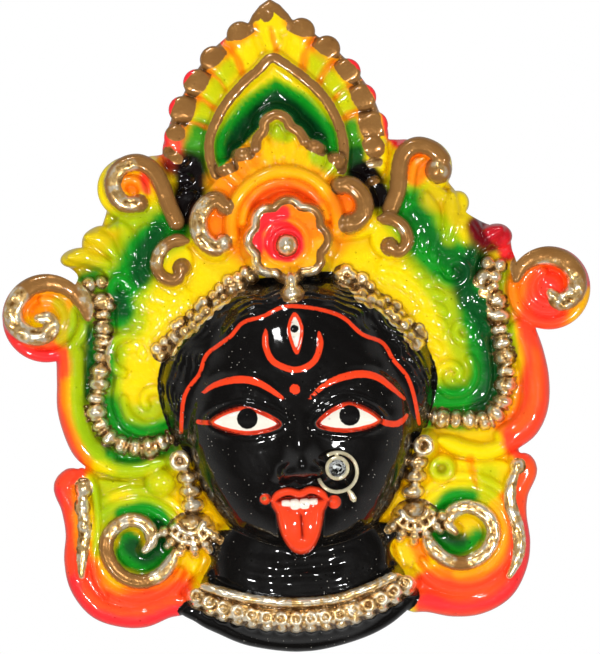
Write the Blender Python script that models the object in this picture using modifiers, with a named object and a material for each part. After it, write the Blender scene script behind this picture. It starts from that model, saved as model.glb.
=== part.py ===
# A cast and painted wall plaque of the goddess Kali: one casting with a flat back, and a brass nose ring with
# a clear stone. The back lies in the plane Y = 0 and the face looks along -Y. Sizes are millimetres: X to the
# viewer's right, Z up, and heights are measured forward from the flat back. They become metres in place().

import math

import bmesh
import bpy
from mathutils import Matrix, Vector

MM = 0.001

# Driving heights above the flat back
PANEL_FRONT = 9.0
FOLIAGE_FRONT = 14.5
LOWER_PANEL_FRONT = 12.0
CREST_FRONT = 20.0
LEAF_TOP = 14.5
SCROLL_TOP = 20.0
CREST_TOP = 27.0
BUST_FRONT = 24.0
NECK_FRONT = 34.0
FACE_EDGE = 12.0
FACE_RISE = 45.0
HAIR_EDGE = 13.0
HAIR_RISE = 38.0

# The face and the mass of the hair are domes over these ovals
FACE_CENTRE = (3.0, -40.0)
FACE_HALF_WIDTH = 58.0
FACE_UP = 66.0
FACE_DOWN = 74.0
FACE_FULLNESS = 2.3
HAIR_CENTRE = (3.0, -26.0)
HAIR_HALF_WIDTH = 68.0
HAIR_UP = 52.0
HAIR_DOWN = 60.0
HAIR_FULLNESS = 1.8

# Crown
CROWN_HUB = (0.0, 92.0)
CROWN_TIP = (0.0, 165.3)
LOBE_RADIUS = 6.8
LOBES_RIGHT = [(15, 148), (27, 138.5), (36.5, 126.5), (43.5, 113.5), (48.5, 99.5)]
LOBES_LEFT = [(-15.5, 148), (-29.5, 136.5), (-38.5, 125.5), (-46.5, 112.5), (-49.5, 99)]
LEAF_RIGHT = [(7, 131), (13, 126), (19, 120.5), (24, 114.5), (28, 107.5), (31.5, 98), (32.5, 88), (31, 78)]
LEAF_LEFT = [(-7, 130), (-13, 125.5), (-20, 119), (-26, 112), (-30, 105), (-33.5, 97), (-34, 88), (-31.5, 79)]
LEAF_TIP = (-0.5, 135.5)
LEAF_RIM = 2.6
CREST_LOBES = [(-26.5, 81.5), (-17.5, 88.5), (18.5, 90), (28.5, 82.5)]
ARCH_CENTRE = (1.0, 52.0)
ARCH_RADIUS = 26.5

FLOWER_CENTRE = (2.0, 44.5)
FLOWER_RADIUS = 20.5
PETALS = 8

BEAD_PITCH = 4.8
BEAD_RADIUS = 3.0

# Radii of the rounded ridges, and of the rounded edges of the plates
PLATE_EDGE = 2.5
CURL_RIDGE = 2.4
STEM_RIDGE = 2.7
LEAF_RIDGE = 3.4
SIDE_ROLL = 7.2
LOWER_ROLL = 5.6
OVER_ROLL = 4.0
VOLUTE_BAND = 4.3
TOP_BAND = 4.2
COMB_BAND = 4.3
LOOP_BAND = 3.2
LOWER_BAND = 3.4
STROKE_RIDGE = 3.2

# Nose ring and stone
RING_CENTRE = (20.0, -70.5)
RING_RADIUS = 9.6
RING_WIRE = 0.95
RING_HEIGHT = 60.3
RING_LEAN = 0.5
RING_HOOK = 5.4
RING_TRIANGLES = 900
CUP_CENTRE = (20.0, -68.5)
CUP_RADIUS = 6.0
CUP_DEPTH = 2.6
CUP_FLOOR = 0.9
STONE_RADIUS = 3.9
STONE_GIRDLE = 1.7
STONE_TABLE = 2.9
STONE_SIDES = 10
FIT_GAP = 0.3

# The casting is joined in cells of this size, then thinned to about this many triangles
CELL = 1.15
CASTING_TRIANGLES = 9000


def place(x, z, height):
    """A point of the plaque, in metres."""
    return Vector((x * MM, -height * MM, z * MM))


def dome_height(point, centre, half_width, up, down, edge, rise, fullness):
    """Height of a dome over an oval: edge at the oval's rim, edge + rise at its centre."""
    across = (point[0] - centre[0]) / half_width
    along = (point[1] - centre[1]) / (up if point[1] > centre[1] else down)
    out = math.hypot(across, along)
    if out >= 1.0:
        return edge
    return edge + rise * (1.0 - out ** fullness) ** (1.0 / fullness)


def face_height(point):
    return dome_height(point, FACE_CENTRE, FACE_HALF_WIDTH, FACE_UP, FACE_DOWN,
                       FACE_EDGE, FACE_RISE, FACE_FULLNESS)


def hair_height(point):
    return dome_height(point, HAIR_CENTRE, HAIR_HALF_WIDTH, HAIR_UP, HAIR_DOWN,
                       HAIR_EDGE, HAIR_RISE, HAIR_FULLNESS)


def head_height(point):
    return max(face_height(point), hair_height(point))


def through(points, steps=3, closed=False):
    """A smooth curve through the points, as a Catmull-Rom spline with a few steps a span."""
    count = len(points)
    spans = count if closed else count - 1
    curve = []
    for i in range(spans):
        if closed:
            a, b, c, d = (points[(i + k) % count] for k in (-1, 0, 1, 2))
        else:
            a, b, c, d = (points[min(max(i + k, 0), count - 1)] for k in (-1, 0, 1, 2))
        for s in range(steps):
            t = s / steps
            weights = (-t + 2 * t * t - t ** 3, 2 - 5 * t * t + 3 * t ** 3,
                       t + 4 * t * t - 3 * t ** 3, -t * t + t ** 3)
            curve.append(tuple(0.5 * sum(w * p[k] for w, p in zip(weights, (a, b, c, d))) for k in (0, 1)))
    if not closed:
        curve.append(tuple(points[-1]))
    return curve


def spiral(centre, first_radius, last_radius, first_turn, last_turn, steps=18):
    """Points of a spiral round a centre. Turns are in degrees, anticlockwise from the viewer's right."""
    curve = []
    for i in range(steps + 1):
        t = i / steps
        angle = math.radians(first_turn + (last_turn - first_turn) * t)
        radius = first_radius + (last_radius - first_radius) * t
        curve.append((centre[0] + radius * math.cos(angle), centre[1] + radius * math.sin(angle)))
    return curve


def evenly(points, pitch):
    """The same curve with points at an even pitch."""
    lengths = [0.0]
    for a, b in zip(points, points[1:]):
        lengths.append(lengths[-1] + math.dist(a, b))
    count = max(2, round(lengths[-1] / pitch))
    curve = []
    span = 0
    for i in range(count + 1):
        at = lengths[-1] * i / count
        while span < len(points) - 2 and lengths[span + 1] < at:
            span += 1
        part = (at - lengths[span]) / max(lengths[span + 1] - lengths[span], 1e-9)
        curve.append(tuple(a + (b - a) * part for a, b in zip(points[span], points[span + 1])))
    return curve


def join(collection, mesh, matrix):
    """Adds a closed form of the casting to its collection."""
    form = bpy.data.objects.new("form", mesh)
    form.matrix_world = matrix
    collection.objects.link(form)
    return form


def as_mesh(curve_object):
    """A curve object's evaluated mesh, with its caps welded."""
    bpy.context.scene.collection.objects.link(curve_object)
    bpy.context.view_layer.update()
    evaluated = curve_object.evaluated_get(bpy.context.evaluated_depsgraph_get())
    mesh = bpy.data.meshes.new_from_object(evaluated)
    bm = bmesh.new()
    bm.from_mesh(mesh)
    bmesh.ops.remove_doubles(bm, verts=bm.verts, dist=0.00001)
    bm.to_mesh(mesh)
    bm.free()
    curve = curve_object.data
    bpy.data.objects.remove(curve_object)
    bpy.data.curves.remove(curve)
    return mesh


def tube_mesh(points, radius, heights, widths=None, roundness=2):
    """A round bar through the points. Heights and widths are one for each point, or one for all."""
    curve = bpy.data.curves.new("bar", "CURVE")
    curve.dimensions = "3D"
    curve.bevel_depth = radius * MM
    curve.bevel_resolution = roundness
    curve.use_fill_caps = True
    spline = curve.splines.new("POLY")
    spline.points.add(len(points) - 1)
    for i, (x, z) in enumerate(points):
        height = heights[i] if isinstance(heights, list) else heights
        spline.points[i].co = (*place(x, z, height), 1.0)
        spline.points[i].radius = widths[i] if widths else 1.0
    return as_mesh(bpy.data.objects.new("bar", curve))


def bar(collection, points, radius, top, taper=0.0):
    """A rounded ridge whose crest is at the height top, or at one height for each point. Taper is the part of
    its length that thins at each end. Below a level crest, further bars fill the ridge down to the panel."""
    count = len(points)
    widths = []
    for i in range(count):
        end = min(i, count - 1 - i) / (count - 1)
        widths.append(1.0 if end >= taper else 0.45 + 0.55 * math.sin(math.pi / 2 * end / taper))
    tops = top if isinstance(top, list) else [top] * count
    deepest = tops[0] if isinstance(top, list) else PANEL_FRONT
    for layer in range(1 + math.ceil(max(0.0, tops[0] - 2 * radius - deepest) / radius)):
        heights = [t - radius * (w + layer) for t, w in zip(tops, widths)]
        join(collection, tube_mesh(points, radius, heights, widths), Matrix.Identity(4))


def beads(collection, points, top, pitch=BEAD_PITCH, radius=BEAD_RADIUS):
    """A string of beads along a curve: a bar that swells at each bead and narrows between them."""
    stops = evenly(points, pitch / 4)
    widths = [0.55 + 0.45 * abs(math.sin(math.pi * i / 4)) for i in range(len(stops))]
    heights = [(top(p) if callable(top) else top) - radius for p in stops]
    return join(collection, tube_mesh(stops, radius, heights, widths), Matrix.Identity(4))


def slab(collection, outline, front, edge=2.0, back=0.0):
    """A plate with a flat outline and a rounded edge."""
    curve = bpy.data.curves.new("plate", "CURVE")
    curve.dimensions = "2D"
    curve.fill_mode = "BOTH"
    curve.extrude = ((front - back) / 2 - edge) * MM
    curve.bevel_depth = edge * MM
    curve.bevel_resolution = 1
    curve.offset = -edge * MM
    spline = curve.splines.new("POLY")
    spline.use_cyclic_u = True
    spline.points.add(len(outline) - 1)
    for point, (x, z) in zip(spline.points, outline):
        point.co = (x * MM, z * MM, 0.0, 1.0)
    mesh = as_mesh(bpy.data.objects.new("plate", curve))
    stand = Matrix.Rotation(math.radians(90), 4, "X")
    return join(collection, mesh, Matrix.Translation(place(0, 0, (front + back) / 2)) @ stand)


def dome(collection, centre, radii, top, depth, turn=0.0, segments=24):
    """A half-sunk egg: radii across and up, its front at the height top, its middle depth below that."""
    mesh = bpy.data.meshes.new("egg")
    bm = bmesh.new()
    bmesh.ops.create_uvsphere(bm, u_segments=segments, v_segments=segments // 2, radius=1.0)
    bm.to_mesh(mesh)
    bm.free()
    size = Matrix.Diagonal((radii[0] * MM, depth * MM, radii[1] * MM, 1.0))
    lean = Matrix.Rotation(math.radians(-turn), 4, "Y")
    return join(collection, mesh, Matrix.Translation(place(*centre, top - depth)) @ lean @ size)


def oval_dome(collection, centre, half_width, up, down, height_at):
    """A closed dome over an oval, whose front is the surface that height_at gives."""
    mesh = bpy.data.meshes.new("oval")
    bm = bmesh.new()
    bmesh.ops.create_uvsphere(bm, u_segments=64, v_segments=32, radius=1.0)
    for vert in bm.verts:
        x = centre[0] + half_width * vert.co.x
        z = centre[1] + (up if vert.co.z > 0 else down) * vert.co.z
        vert.co = place(x, z, height_at((x, z)) if vert.co.y < 0.001 else PANEL_FRONT / 2)
    bm.to_mesh(mesh)
    bm.free()
    return join(collection, mesh, Matrix.Identity(4))


def on_head(points, lift):
    return [head_height(p) + lift for p in points]


def panel(forms):
    right = [(57, 92), (72, 82), (86, 66), (91, 54), (104, 46), (112, 42), (114, 31), (118, 12), (122, -5),
             (120, -22), (119, -44), (113, -58), (111, -66), (113, -77), (107, -92), (108, -112), (103, -130),
             (88, -140), (66, -140), (46, -136)]
    left = [(-46, -134), (-64, -134), (-84, -138), (-103, -131), (-111, -112), (-111, -88), (-114, -72),
            (-105, -63), (-108, -44), (-110, -22), (-111, -6), (-110, 18), (-103, 32), (-110, 41), (-98, 47),
            (-91, 55), (-85, 68), (-74, 80), (-58, 91)]
    slab(forms, through(right + left, 2, closed=True), PANEL_FRONT, PLATE_EDGE)


def foliage(forms):
    """The raised field between the bead strings and the hair, with its curls and leaves."""
    field = [(-97, 44), (-86, 26), (-86, -10), (-89, -34), (-78, -48), (-50, -45), (50, -42), (86, -43),
             (99, -34), (98, 0), (94, 22), (100, 42), (88, 58), (62, 70), (-60, 70), (-84, 58)]
    slab(forms, through(field, 2, closed=True), FOLIAGE_FRONT, PLATE_EDGE)
    crest = FOLIAGE_FRONT + 3.0
    curls = [((-70, -32), 3, 14, 200, -190), ((-83, 25), 2.5, 8, 0, 400), ((80, -27), 3, 12, -20, 400),
             ((87, -5), 3, 8, 90, 420), ((84, 25), 3, 9, 180, -160)]
    for curl in curls:
        bar(forms, spiral(*curl), CURL_RIDGE, crest)
    stems = [spiral((-80, -8), 9, 10, 250, 60, 10), through([(-62, 25), (-63, 17), (-69, 12), (-77, 10)]),
             through([(55, 28), (63, 19), (71, 12), (73, 4), (68, -1)])]
    for stem in stems:
        bar(forms, stem, STEM_RIDGE, crest, 0.2)
    fans = [((-66, 40), [(-96, 42), (-93, 51), (-84, 59), (-72, 62)]),
            ((66, 40), [(97, 40), (92, 50), (84, 60), (72, 64)])]
    for root, tips in fans:
        for tip in tips:
            middle = ((root[0] + tip[0]) / 2, (root[1] + tip[1]) / 2 + 2.5)
            bar(forms, through([root, middle, tip], 3), LEAF_RIDGE, crest + 0.5, 0.4)
    outer_leaves = [((-103, 42), (8.5, 4.8), 8), ((-92, 50), (8.8, 6.8), 30), ((88, 58.5), (5.5, 6), 0),
                    ((106.5, 41), (7.5, 6), -10)]
    for centre, radii, turn in outer_leaves:
        dome(forms, centre, radii, LEAF_TOP, 8, turn, segments=16)


def border(forms):
    """The rolls that edge the panel, and the ridges over the lower scrolls."""
    side_right = [(116, -8), (119, -18), (121, -31), (120, -44), (115, -54), (106, -60)]
    side_left = [(-109, -6), (-109.5, -20), (-110, -33), (-107, -46), (-103, -54), (-96, -59)]
    lower_right = [(109, -69), (114, -76), (109, -87), (107.5, -98), (108.5, -112), (106, -124), (99, -135),
                   (87, -141), (74, -141.5), (61, -138.5), (49, -138.5)]
    lower_left = [(-107, -65), (-115.5, -71), (-112.5, -82), (-111, -95), (-112.5, -108), (-110.5, -121),
                  (-103, -132), (-92, -137), (-80, -138), (-68, -134), (-57, -133)]
    over_right = [(108, -62), (95, -66), (84, -64), (72, -59)]
    over_left = [(-100, -59), (-90, -64), (-78, -65), (-66, -62)]
    side_top, lower_top = PANEL_FRONT + 7.5, PANEL_FRONT + 7.0
    for path in (side_right, side_left):
        bar(forms, through(path), SIDE_ROLL, side_top)
    for path in (lower_right, lower_left):
        bar(forms, through(path), LOWER_ROLL, lower_top, 0.05)
    for path in (over_right, over_left):
        bar(forms, through(path), OVER_ROLL, side_top, 0.2)


def side_scrolls(forms):
    """The big curls at both side edges: a dished disc with a raised rim, under a thick curling band."""
    right = [(114.5, 19), (117, 26), (124, 29.5), (132, 29.5), (139.5, 26), (144, 19.5), (144, 12.5),
             (140, 7.5), (134.5, 7), (131, 11)]
    left = [(-99, 12), (-100.5, 19), (-105.5, 26), (-113, 30), (-121.5, 30.5), (-129.5, 27), (-135, 20.5),
            (-136, 12.5), (-131.5, 6.5), (-124.5, 4), (-118.5, 6.5), (-118.5, 12), (-123.5, 13)]
    rim, ring, boss = 3.0, 2.6, 0.4
    disc_front, rim_top, ring_top, boss_top = PANEL_FRONT + 3, SCROLL_TOP - 5, SCROLL_TOP - 3, SCROLL_TOP - 2
    for centre, radius, path, turns in (((130.5, 13.5), 20.7, right, (110, 330)),
                                        ((-119.8, 12.8), 22.0, left, (95, -130))):
        slab(forms, spiral(centre, radius, radius, 0, 345, 23), disc_front, rim)
        bar(forms, spiral(centre, radius - rim, radius - rim, 0, 360, 32), rim, rim_top)
        bar(forms, through(path), VOLUTE_BAND, SCROLL_TOP)
        bar(forms, spiral(centre, radius * 0.55, radius * 0.5, *turns), ring, ring_top)
        dome(forms, centre, (radius * boss, radius * boss), boss_top, 8)


def top_scrolls(forms):
    """The curls beside the crown, with the loops that lead down from them to the flower."""
    left = [(-52.5, 57), (-56, 66), (-58.5, 75), (-62.5, 83), (-69.5, 87.5), (-77.5, 86), (-82.5, 79.5),
            (-82, 72), (-77, 67), (-70, 67)]
    right = [(54, 57), (58, 66), (59.5, 76), (62, 84), (68.5, 88), (76, 86), (81, 80.5)]
    disc_front = PANEL_FRONT + 5
    for path, knob, reach, centre, radius in ((left, (-70, 68), 3.6, (-75.5, 75), 15.5),
                                              (right, (79, 75), 6.5, (72, 77), 14.0)):
        slab(forms, spiral(centre, radius, radius, 0, 345, 23), disc_front, PLATE_EDGE)
        bar(forms, through(path), TOP_BAND, SCROLL_TOP)
        dome(forms, knob, (reach, reach), SCROLL_TOP + 0.5, 7)
    bar(forms, spiral((-75, 74), 6.5, 3.5, -60, 200, 14), CURL_RIDGE, SCROLL_TOP - 2)


def inner_scrolls(forms):
    """The pair of combs beside the flower, and the two small loops beside them."""
    left = [(-28, 63), (-32, 66.5), (-38, 63.5), (-41.5, 56), (-40, 48), (-34.5, 43), (-29.5, 44.5)]
    right = [(29.5, 70), (35.5, 69.5), (40.5, 63.5), (40.5, 56), (35, 50.5), (32.5, 50)]
    for path, knob, reach in ((left, (-29.5, 45), 4.3), (right, (33, 51), 5.3)):
        bar(forms, through(path), COMB_BAND, CREST_TOP, 0.1)
        dome(forms, knob, (reach, reach), CREST_TOP + 0.5, 7, segments=16)
        dome(forms, path[0], (COMB_BAND, COMB_BAND), CREST_TOP, 6, segments=16)
    loop_left = [(-47.5, 47), (-54, 47.5), (-60.5, 43.5), (-63.5, 36.5), (-61, 30), (-55, 28), (-50.5, 32)]
    loop_right = [(48, 52.5), (54.5, 52), (60, 47.5), (61.5, 40.5), (57.5, 36), (52.5, 37)]
    disc, knob_radius = 11.0, 4.6
    for path, knob, centre in ((loop_left, (-51, 34), (-56.5, 38)), (loop_right, (52.5, 38.5), (54, 43))):
        slab(forms, spiral(centre, disc, disc, 0, 345, 23), SCROLL_TOP - 1, PLATE_EDGE)
        bar(forms, through(path), LOOP_BAND, SCROLL_TOP + 2.5)
        dome(forms, knob, (knob_radius, knob_radius), SCROLL_TOP + 3, 7, segments=16)


def crown(forms):
    """A fluted fan with a scalloped edge, and a leaf-shaped rim in front of it. The outline of the fan runs
    through the notches, and the round end of each rib stands a little proud of it."""
    fan = [(-57, 88), (-54, 104), (-46, 119.5), (-38, 132), (-27, 144), (-13, 153), (0, 157), (12, 153.5),
           (24.5, 144), (35.5, 134), (46, 119.5), (51, 107), (55, 92), (42, 70), (-42, 70)]
    tip = [(-12.5, 151), (-9, 157.5), (-5, 162), CROWN_TIP, (5, 161.8), (9, 157), (12.5, 151), (0, 144)]
    finger_foot, finger, lobe_depth, tip_rib = 0.72, 5.2, 6.0, 5.5
    fan_front, finger_top, lobe_top = PANEL_FRONT + 3.5, PANEL_FRONT + 5.0, PANEL_FRONT + 6.5
    rim_top, ledge_top, ledge_scale, leaf_foot = PANEL_FRONT + 9.5, PANEL_FRONT + 4.5, 0.9, (0, 84)
    slab(forms, through(fan, 2, closed=True), fan_front, PLATE_EDGE)
    for lobe in LOBES_RIGHT + LOBES_LEFT:
        foot = tuple(h + (v - h) * finger_foot for h, v in zip(CROWN_HUB, lobe))
        bar(forms, [foot, lobe], finger, finger_top)
        dome(forms, lobe, (LOBE_RADIUS, LOBE_RADIUS), lobe_top, lobe_depth, segments=16)
    slab(forms, tip, lobe_top - 1.0, 2.0)
    bar(forms, [(-0.5, 140), (-0.5, 150), (0, 157)], tip_rib, lobe_top, 0.3)
    leaf = through(LEAF_LEFT[::-1] + [LEAF_TIP] + LEAF_RIGHT)
    bar(forms, leaf, LEAF_RIM, rim_top)
    ledge = [tuple(h + (v - h) * ledge_scale for h, v in zip(leaf_foot, p)) for p in leaf]
    bar(forms, ledge, LEAF_RIM, ledge_top)


def crest(forms):
    """The low fan that stands in front of the leaf, over the arch that frames the flower."""
    outline = [(-31, 78), (-24, 87), (-12, 98), (0.5, 107), (12, 98), (24, 87), (33, 78), (44, 62),
               (40, 44), (-38, 44), (-42, 62)]
    horseshoe = [(-13, 91), (-11.5, 97), (-6.5, 102), (0, 107.5), (6, 103), (11, 98), (13.5, 92.5)]
    finger_foot, finger, lobe_radii, arch_ridge, arch_step = 0.62, 3.1, (4.8, 4.2), 3.0, 6.0
    slab(forms, through(outline, 2, closed=True), CREST_FRONT, 3)
    for lobe in CREST_LOBES:
        foot = tuple(c + (v - c) * finger_foot for c, v in zip(ARCH_CENTRE, lobe))
        bar(forms, [foot, lobe], finger, CREST_FRONT + 3.0)
        dome(forms, lobe, lobe_radii, CREST_FRONT + 4.0, 6, segments=16)
    bar(forms, through(horseshoe), CURL_RIDGE, CREST_FRONT + 4.5)
    bar(forms, spiral(ARCH_CENTRE, ARCH_RADIUS, ARCH_RADIUS, 185, -5, 24), arch_ridge, CREST_TOP)
    inner_arch = ARCH_RADIUS - arch_step
    bar(forms, spiral(ARCH_CENTRE, inner_arch, inner_arch, 170, 10, 20), CURL_RIDGE, CREST_TOP - 1)


def flower(forms):
    centre = FLOWER_CENTRE
    disc, petal_radius, outer_ring, inner_ring, stud = 16.0, 6.8, 11.5, 7.5, 5.0
    slab(forms, spiral(centre, disc, disc, 0, 345, 23), CREST_TOP + 2.5, 2)
    for i in range(PETALS):
        angle = math.radians(360 / PETALS * (i + 0.5))
        reach = FLOWER_RADIUS - petal_radius + 0.3
        petal = (centre[0] + reach * math.cos(angle), centre[1] + reach * math.sin(angle))
        dome(forms, petal, (petal_radius, petal_radius), CREST_TOP + 4.5, 6, segments=16)
    bar(forms, spiral(centre, outer_ring, outer_ring, 0, 360, 28), 1.8, CREST_TOP + 5.5)
    bar(forms, spiral(centre, inner_ring, inner_ring, 0, 360, 20), 1.3, CREST_TOP + 4.5)
    dome(forms, centre, (stud, stud), CREST_TOP + 8.0, 6, segments=16)


def bead_strings(forms):
    """The strings that hang inside the border, doubled at the top and at the lower corner."""
    left = through([(-92, 20), (-92, 8), (-93, -8), (-96, -22), (-98, -36), (-94, -46), (-84, -53),
                    (-73, -54.5), (-63, -51)])
    right = through([(98, 21), (104, 10), (105, -6), (107, -20), (106.5, -34), (103, -44), (95, -50),
                     (82, -49.5), (70, -47)])
    top = PANEL_FRONT + 5.5
    beads(forms, left, top)
    beads(forms, right, top)
    beads(forms, through([(-97, 30), (-97, 22), (-96, 15)]), top)
    beads(forms, through([(102, 29), (105, 23), (106, 16)]), top)


def lower_scrolls(forms):
    """The two large scrolls below the border, each in its own stepped field."""
    left = [(-52, -70), (-66, -68), (-86, -70), (-104, -70), (-108, -92), (-106, -118), (-95, -132),
            (-76, -133), (-58, -124), (-48, -104)]
    right = [(50, -70), (66, -66), (86, -70), (105, -72), (104, -92), (104, -116), (95, -134), (74, -137),
             (56, -132), (46, -106)]
    curl_left = [(-62, -106), (-65, -112), (-71, -118), (-80, -120.5), (-89, -117.5), (-95, -110),
                 (-96.5, -101), (-93, -94), (-86, -90), (-79, -90.5), (-74.5, -95), (-74, -101), (-77.5, -105)]
    curl_right = [(62, -104), (65, -112), (72, -118.5), (81, -120.5), (90, -117), (95.5, -109), (95, -101),
                  (90, -95), (83, -92.5), (76, -95), (73.5, -100.5), (77, -105)]
    sweep_radius, sweep_top, thin, boss_depth = 24.0, SCROLL_TOP - 4, 1.6, 8
    for outline, centre, curl in ((left, (-81, -104), curl_left), (right, (81, -106), curl_right)):
        slab(forms, through(outline, 2, closed=True), LOWER_PANEL_FRONT, 2)
        side = math.copysign(1, centre[0])
        bar(forms, through(curl), LOWER_BAND, SCROLL_TOP)
        dome(forms, (centre[0] - side * 3, centre[1] + 1), (4.5, 4.5), SCROLL_TOP - 1, 6)
        sweep = spiral((0, 0), sweep_radius, sweep_radius, -150, 150, 20)
        bar(forms, [(centre[0] + side * x, centre[1] + z) for x, z in sweep], STROKE_RIDGE, sweep_top)
    strokes = ([(-107, -71), (-106.5, -80), (-106, -90), (-108.5, -100), (-109, -112)],
               [(110, -74), (106, -83), (105, -92), (107.5, -102), (108.5, -112)])
    for path in strokes:
        bar(forms, through(path), STROKE_RIDGE, PANEL_FRONT + 9.0, 0.2)
        dome(forms, path[0], (4.0, 4.0), PANEL_FRONT + 9.5, 6, segments=16)
    thin_ridge = [(-103.5, -71), (-101, -80), (-104, -92), (-106, -108), (-102, -124)]
    bar(forms, through(thin_ridge), thin, LOWER_PANEL_FRONT + 3.0)
    boss, eyelet = (-68, -72), (72, -73)
    dome(forms, boss, (8, 7), SCROLL_TOP, boss_depth)
    bar(forms, spiral(eyelet, 5, 5, 0, 360, 20), 2.0, SCROLL_TOP)


def head(forms):
    oval_dome(forms, FACE_CENTRE, FACE_HALF_WIDTH, FACE_UP, FACE_DOWN, face_height)
    oval_dome(forms, HAIR_CENTRE, HAIR_HALF_WIDTH, HAIR_UP, HAIR_DOWN, hair_height)
    nose(forms)
    eyes(forms)
    mouth(forms)


def nose(forms):
    bridge = [(3, -33), (3, -42), (3, -52), (3, -60), (3, -66)]
    tops = [face_height(p) + lift for p, lift in zip(bridge, (1.0, 3.5, 7.0, 11.0, 14.0))]
    widths = [0.55, 0.5, 0.58, 0.75, 0.9]
    radius = 8.0
    heights = [top - radius * width for top, width in zip(tops, widths)]
    join(forms, tube_mesh(bridge, radius, heights, widths, 4), Matrix.Identity(4))
    dome(forms, (3, -66), (8, 7.5), tops[-1] + 0.5, 9)
    for side in (-1, 1):
        wing = (3 + side * 8, -70)
        dome(forms, wing, (5.6, 5.2), face_height(wing) + 6.8, 8)


def eyes(forms):
    ball, brow_ridge, lid_ridge = (15.5, 5.8), 3.0, 1.5
    for centre in ((-23.5, -43.5), (27, -44.5)):
        top = face_height(centre)
        dome(forms, centre, ball, top + 2.2, 5)
        side = math.copysign(1, centre[0])
        brow = [(centre[0] + side * dx, centre[1] + dz) for dx, dz in
                ((-18, 11), (-9, 17.5), (0, 20.5), (9, 20), (17, 16), (23, 10))]
        path = through(brow)
        bar(forms, path, brow_ridge, [face_height(p) + 1.2 for p in path], 0.2)
        circle = spiral((0, 0), 1, 1, 0, 360, 24)
        rim = [(centre[0] + ball[0] * x, centre[1] + (ball[1] + 0.4) * z) for x, z in circle]
        bar(forms, rim, lid_ridge, [face_height(p) + 2.0 for p in rim])


def mouth(forms):
    """Lips drawn back over the upper teeth, with the tongue hanging out to the chin."""
    lip = through([(-13, -82), (-7, -79), (1, -80.5), (9, -79), (15, -82.5)])
    lip_ridge, tongue_half = 2.6, 7.0
    bar(forms, lip, lip_ridge, [face_height(p) + 5.0 for p in lip], 0.25)
    dome(forms, (0.5, -84), (9.5, 4.5), face_height((1, -84)) + 3.5, 5)
    tongue = [(1, -85), (1, -92), (1, -99), (0.5, -105)]
    for side in (-1, 1):
        path = [(x + side * (4.2 - 0.12 * (-85 - z)), z) for x, z in tongue]
        tops = [face_height((1, -85)) + lift for lift in (4.5, 5.0, 3.0, -1.5)]
        bar(forms, path, tongue_half, tops, 0.2)
    for corner, radius in (((-16, -82), 3.2), ((17.5, -85.5), 3.6)):
        dome(forms, corner, (radius, radius), face_height(corner) + 3.5, 4, segments=16)
    dome(forms, (1.5, -107), (15, 8), face_height((1.5, -100)) + 1.5, 12)
    for side in (-1, 1):
        dome(forms, (2 + side * 30, -66), (17, 18), face_height((2 + side * 30, -66)) + 1.2, 12)


def hair(forms):
    """Locks combed back from the parting, a row of beads along their edge and the drop at the parting."""
    hairline_left = [(-3, 12), (-20, 7), (-34, -5), (-45, -18), (-54, -33), (-55, -48)]
    edge_left = [(-4, 23), (-28, 18), (-47, 4), (-60, -8), (-64, -26), (-58, -50)]
    hairline_right = [(8, 13), (24, 8), (38, -4), (50, -17), (60, -33), (61, -46)]
    edge_right = [(10, 24), (32, 20), (50, 4), (64, -9), (69, -27), (64, -48)]
    lock_ridge = 3.4
    for inner, outer in ((hairline_left, edge_left), (hairline_right, edge_right)):
        for share in (0.12, 0.38, 0.62, 0.88):
            lock = [tuple(a + (b - a) * share for a, b in zip(p, q)) for p, q in zip(inner, outer)]
            path = through(lock)
            bar(forms, path, lock_ridge, on_head(path, 1.8), 0.12)
    row_left = through([(-64, -8), (-50, 6), (-33, 19), (-19, 28)])
    row_right = through([(28, 27), (43, 14), (57, 1), (66, -8)])
    for row in (row_left, row_right):
        beads(forms, row, lambda p: max(head_height(p) + 2.5, FOLIAGE_FRONT + 5.5))
    dome(forms, (3, 19), (6, 6), head_height((3, 16)) + 4.5, 7)


def jewellery(forms):
    """Earrings: a stud, three linked drops and a cluster of bells on each side."""
    for stud, drops, bell in (((-57.5, -61.5), [(-54, -70), (-53, -77), (-52, -84)], (-53, -98)),
                              ((63.5, -61), [(60, -70), (58, -77), (56.5, -85)], (57, -98))):
        dome(forms, stud, (5.2, 5.2), 24, 8, segments=16)
        for drop in drops:
            dome(forms, drop, (4.8, 3.9), 23, 7, segments=16)
        dome(forms, bell, (10.5, 7.5), 21, 9)
        for i in range(5):
            dome(forms, (bell[0] - 8.5 + 4.25 * i, bell[1] - 6 - 1.5 * (2 - abs(i - 2))), (2.8, 3.2), 20, 6,
                 segments=12)


def neck(forms):
    """Neck with three folds, the collar with its pendants, and the bust below."""
    throat = through([(-46, -98), (-45, -112), (-50, -128), (-20, -140), (22, -140), (50, -128), (44, -112),
                      (43, -98)], 2, closed=True)
    slab(forms, throat, BUST_FRONT - 6, 3)
    dome(forms, (0, -116), (46, 38), NECK_FRONT, 22)
    for level, sag in ((-113, 4), (-120, 6), (-126.5, 7)):
        fold = through([(-44, level + sag), (-22, level), (0, level - 1.5), (22, level), (43, level + sag)])
        bar(forms, fold, 2.4, [neck_height(p) + 1.6 for p in fold], 0.15)
    bust = [(-61, -134.5), (-54, -142.5), (-44, -148.5), (-27, -156), (0, -160), (28, -155), (47, -145.5),
            (56, -133), (30, -122), (-30, -122)]
    slab(forms, through(bust, 2, closed=True), BUST_FRONT - 5, 5)
    dome(forms, (0, -132), (48, 24), BUST_FRONT + 6, 14)
    rim = through([(-50, -124), (-35, -129), (-18, -133), (0, -134.5), (17, -133.5), (32, -129.5),
                   (46, -124)])
    bar(forms, rim, 2.2, [neck_height(p) + 3.5 for p in rim])
    drops = through([(-53, -128.5), (-40, -136), (-20, -142), (0, -144), (20, -142.5), (38, -136),
                     (51, -129)])
    beads(forms, drops, lambda p: neck_height(p) + 3.0, 6.0, 4.6)


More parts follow.
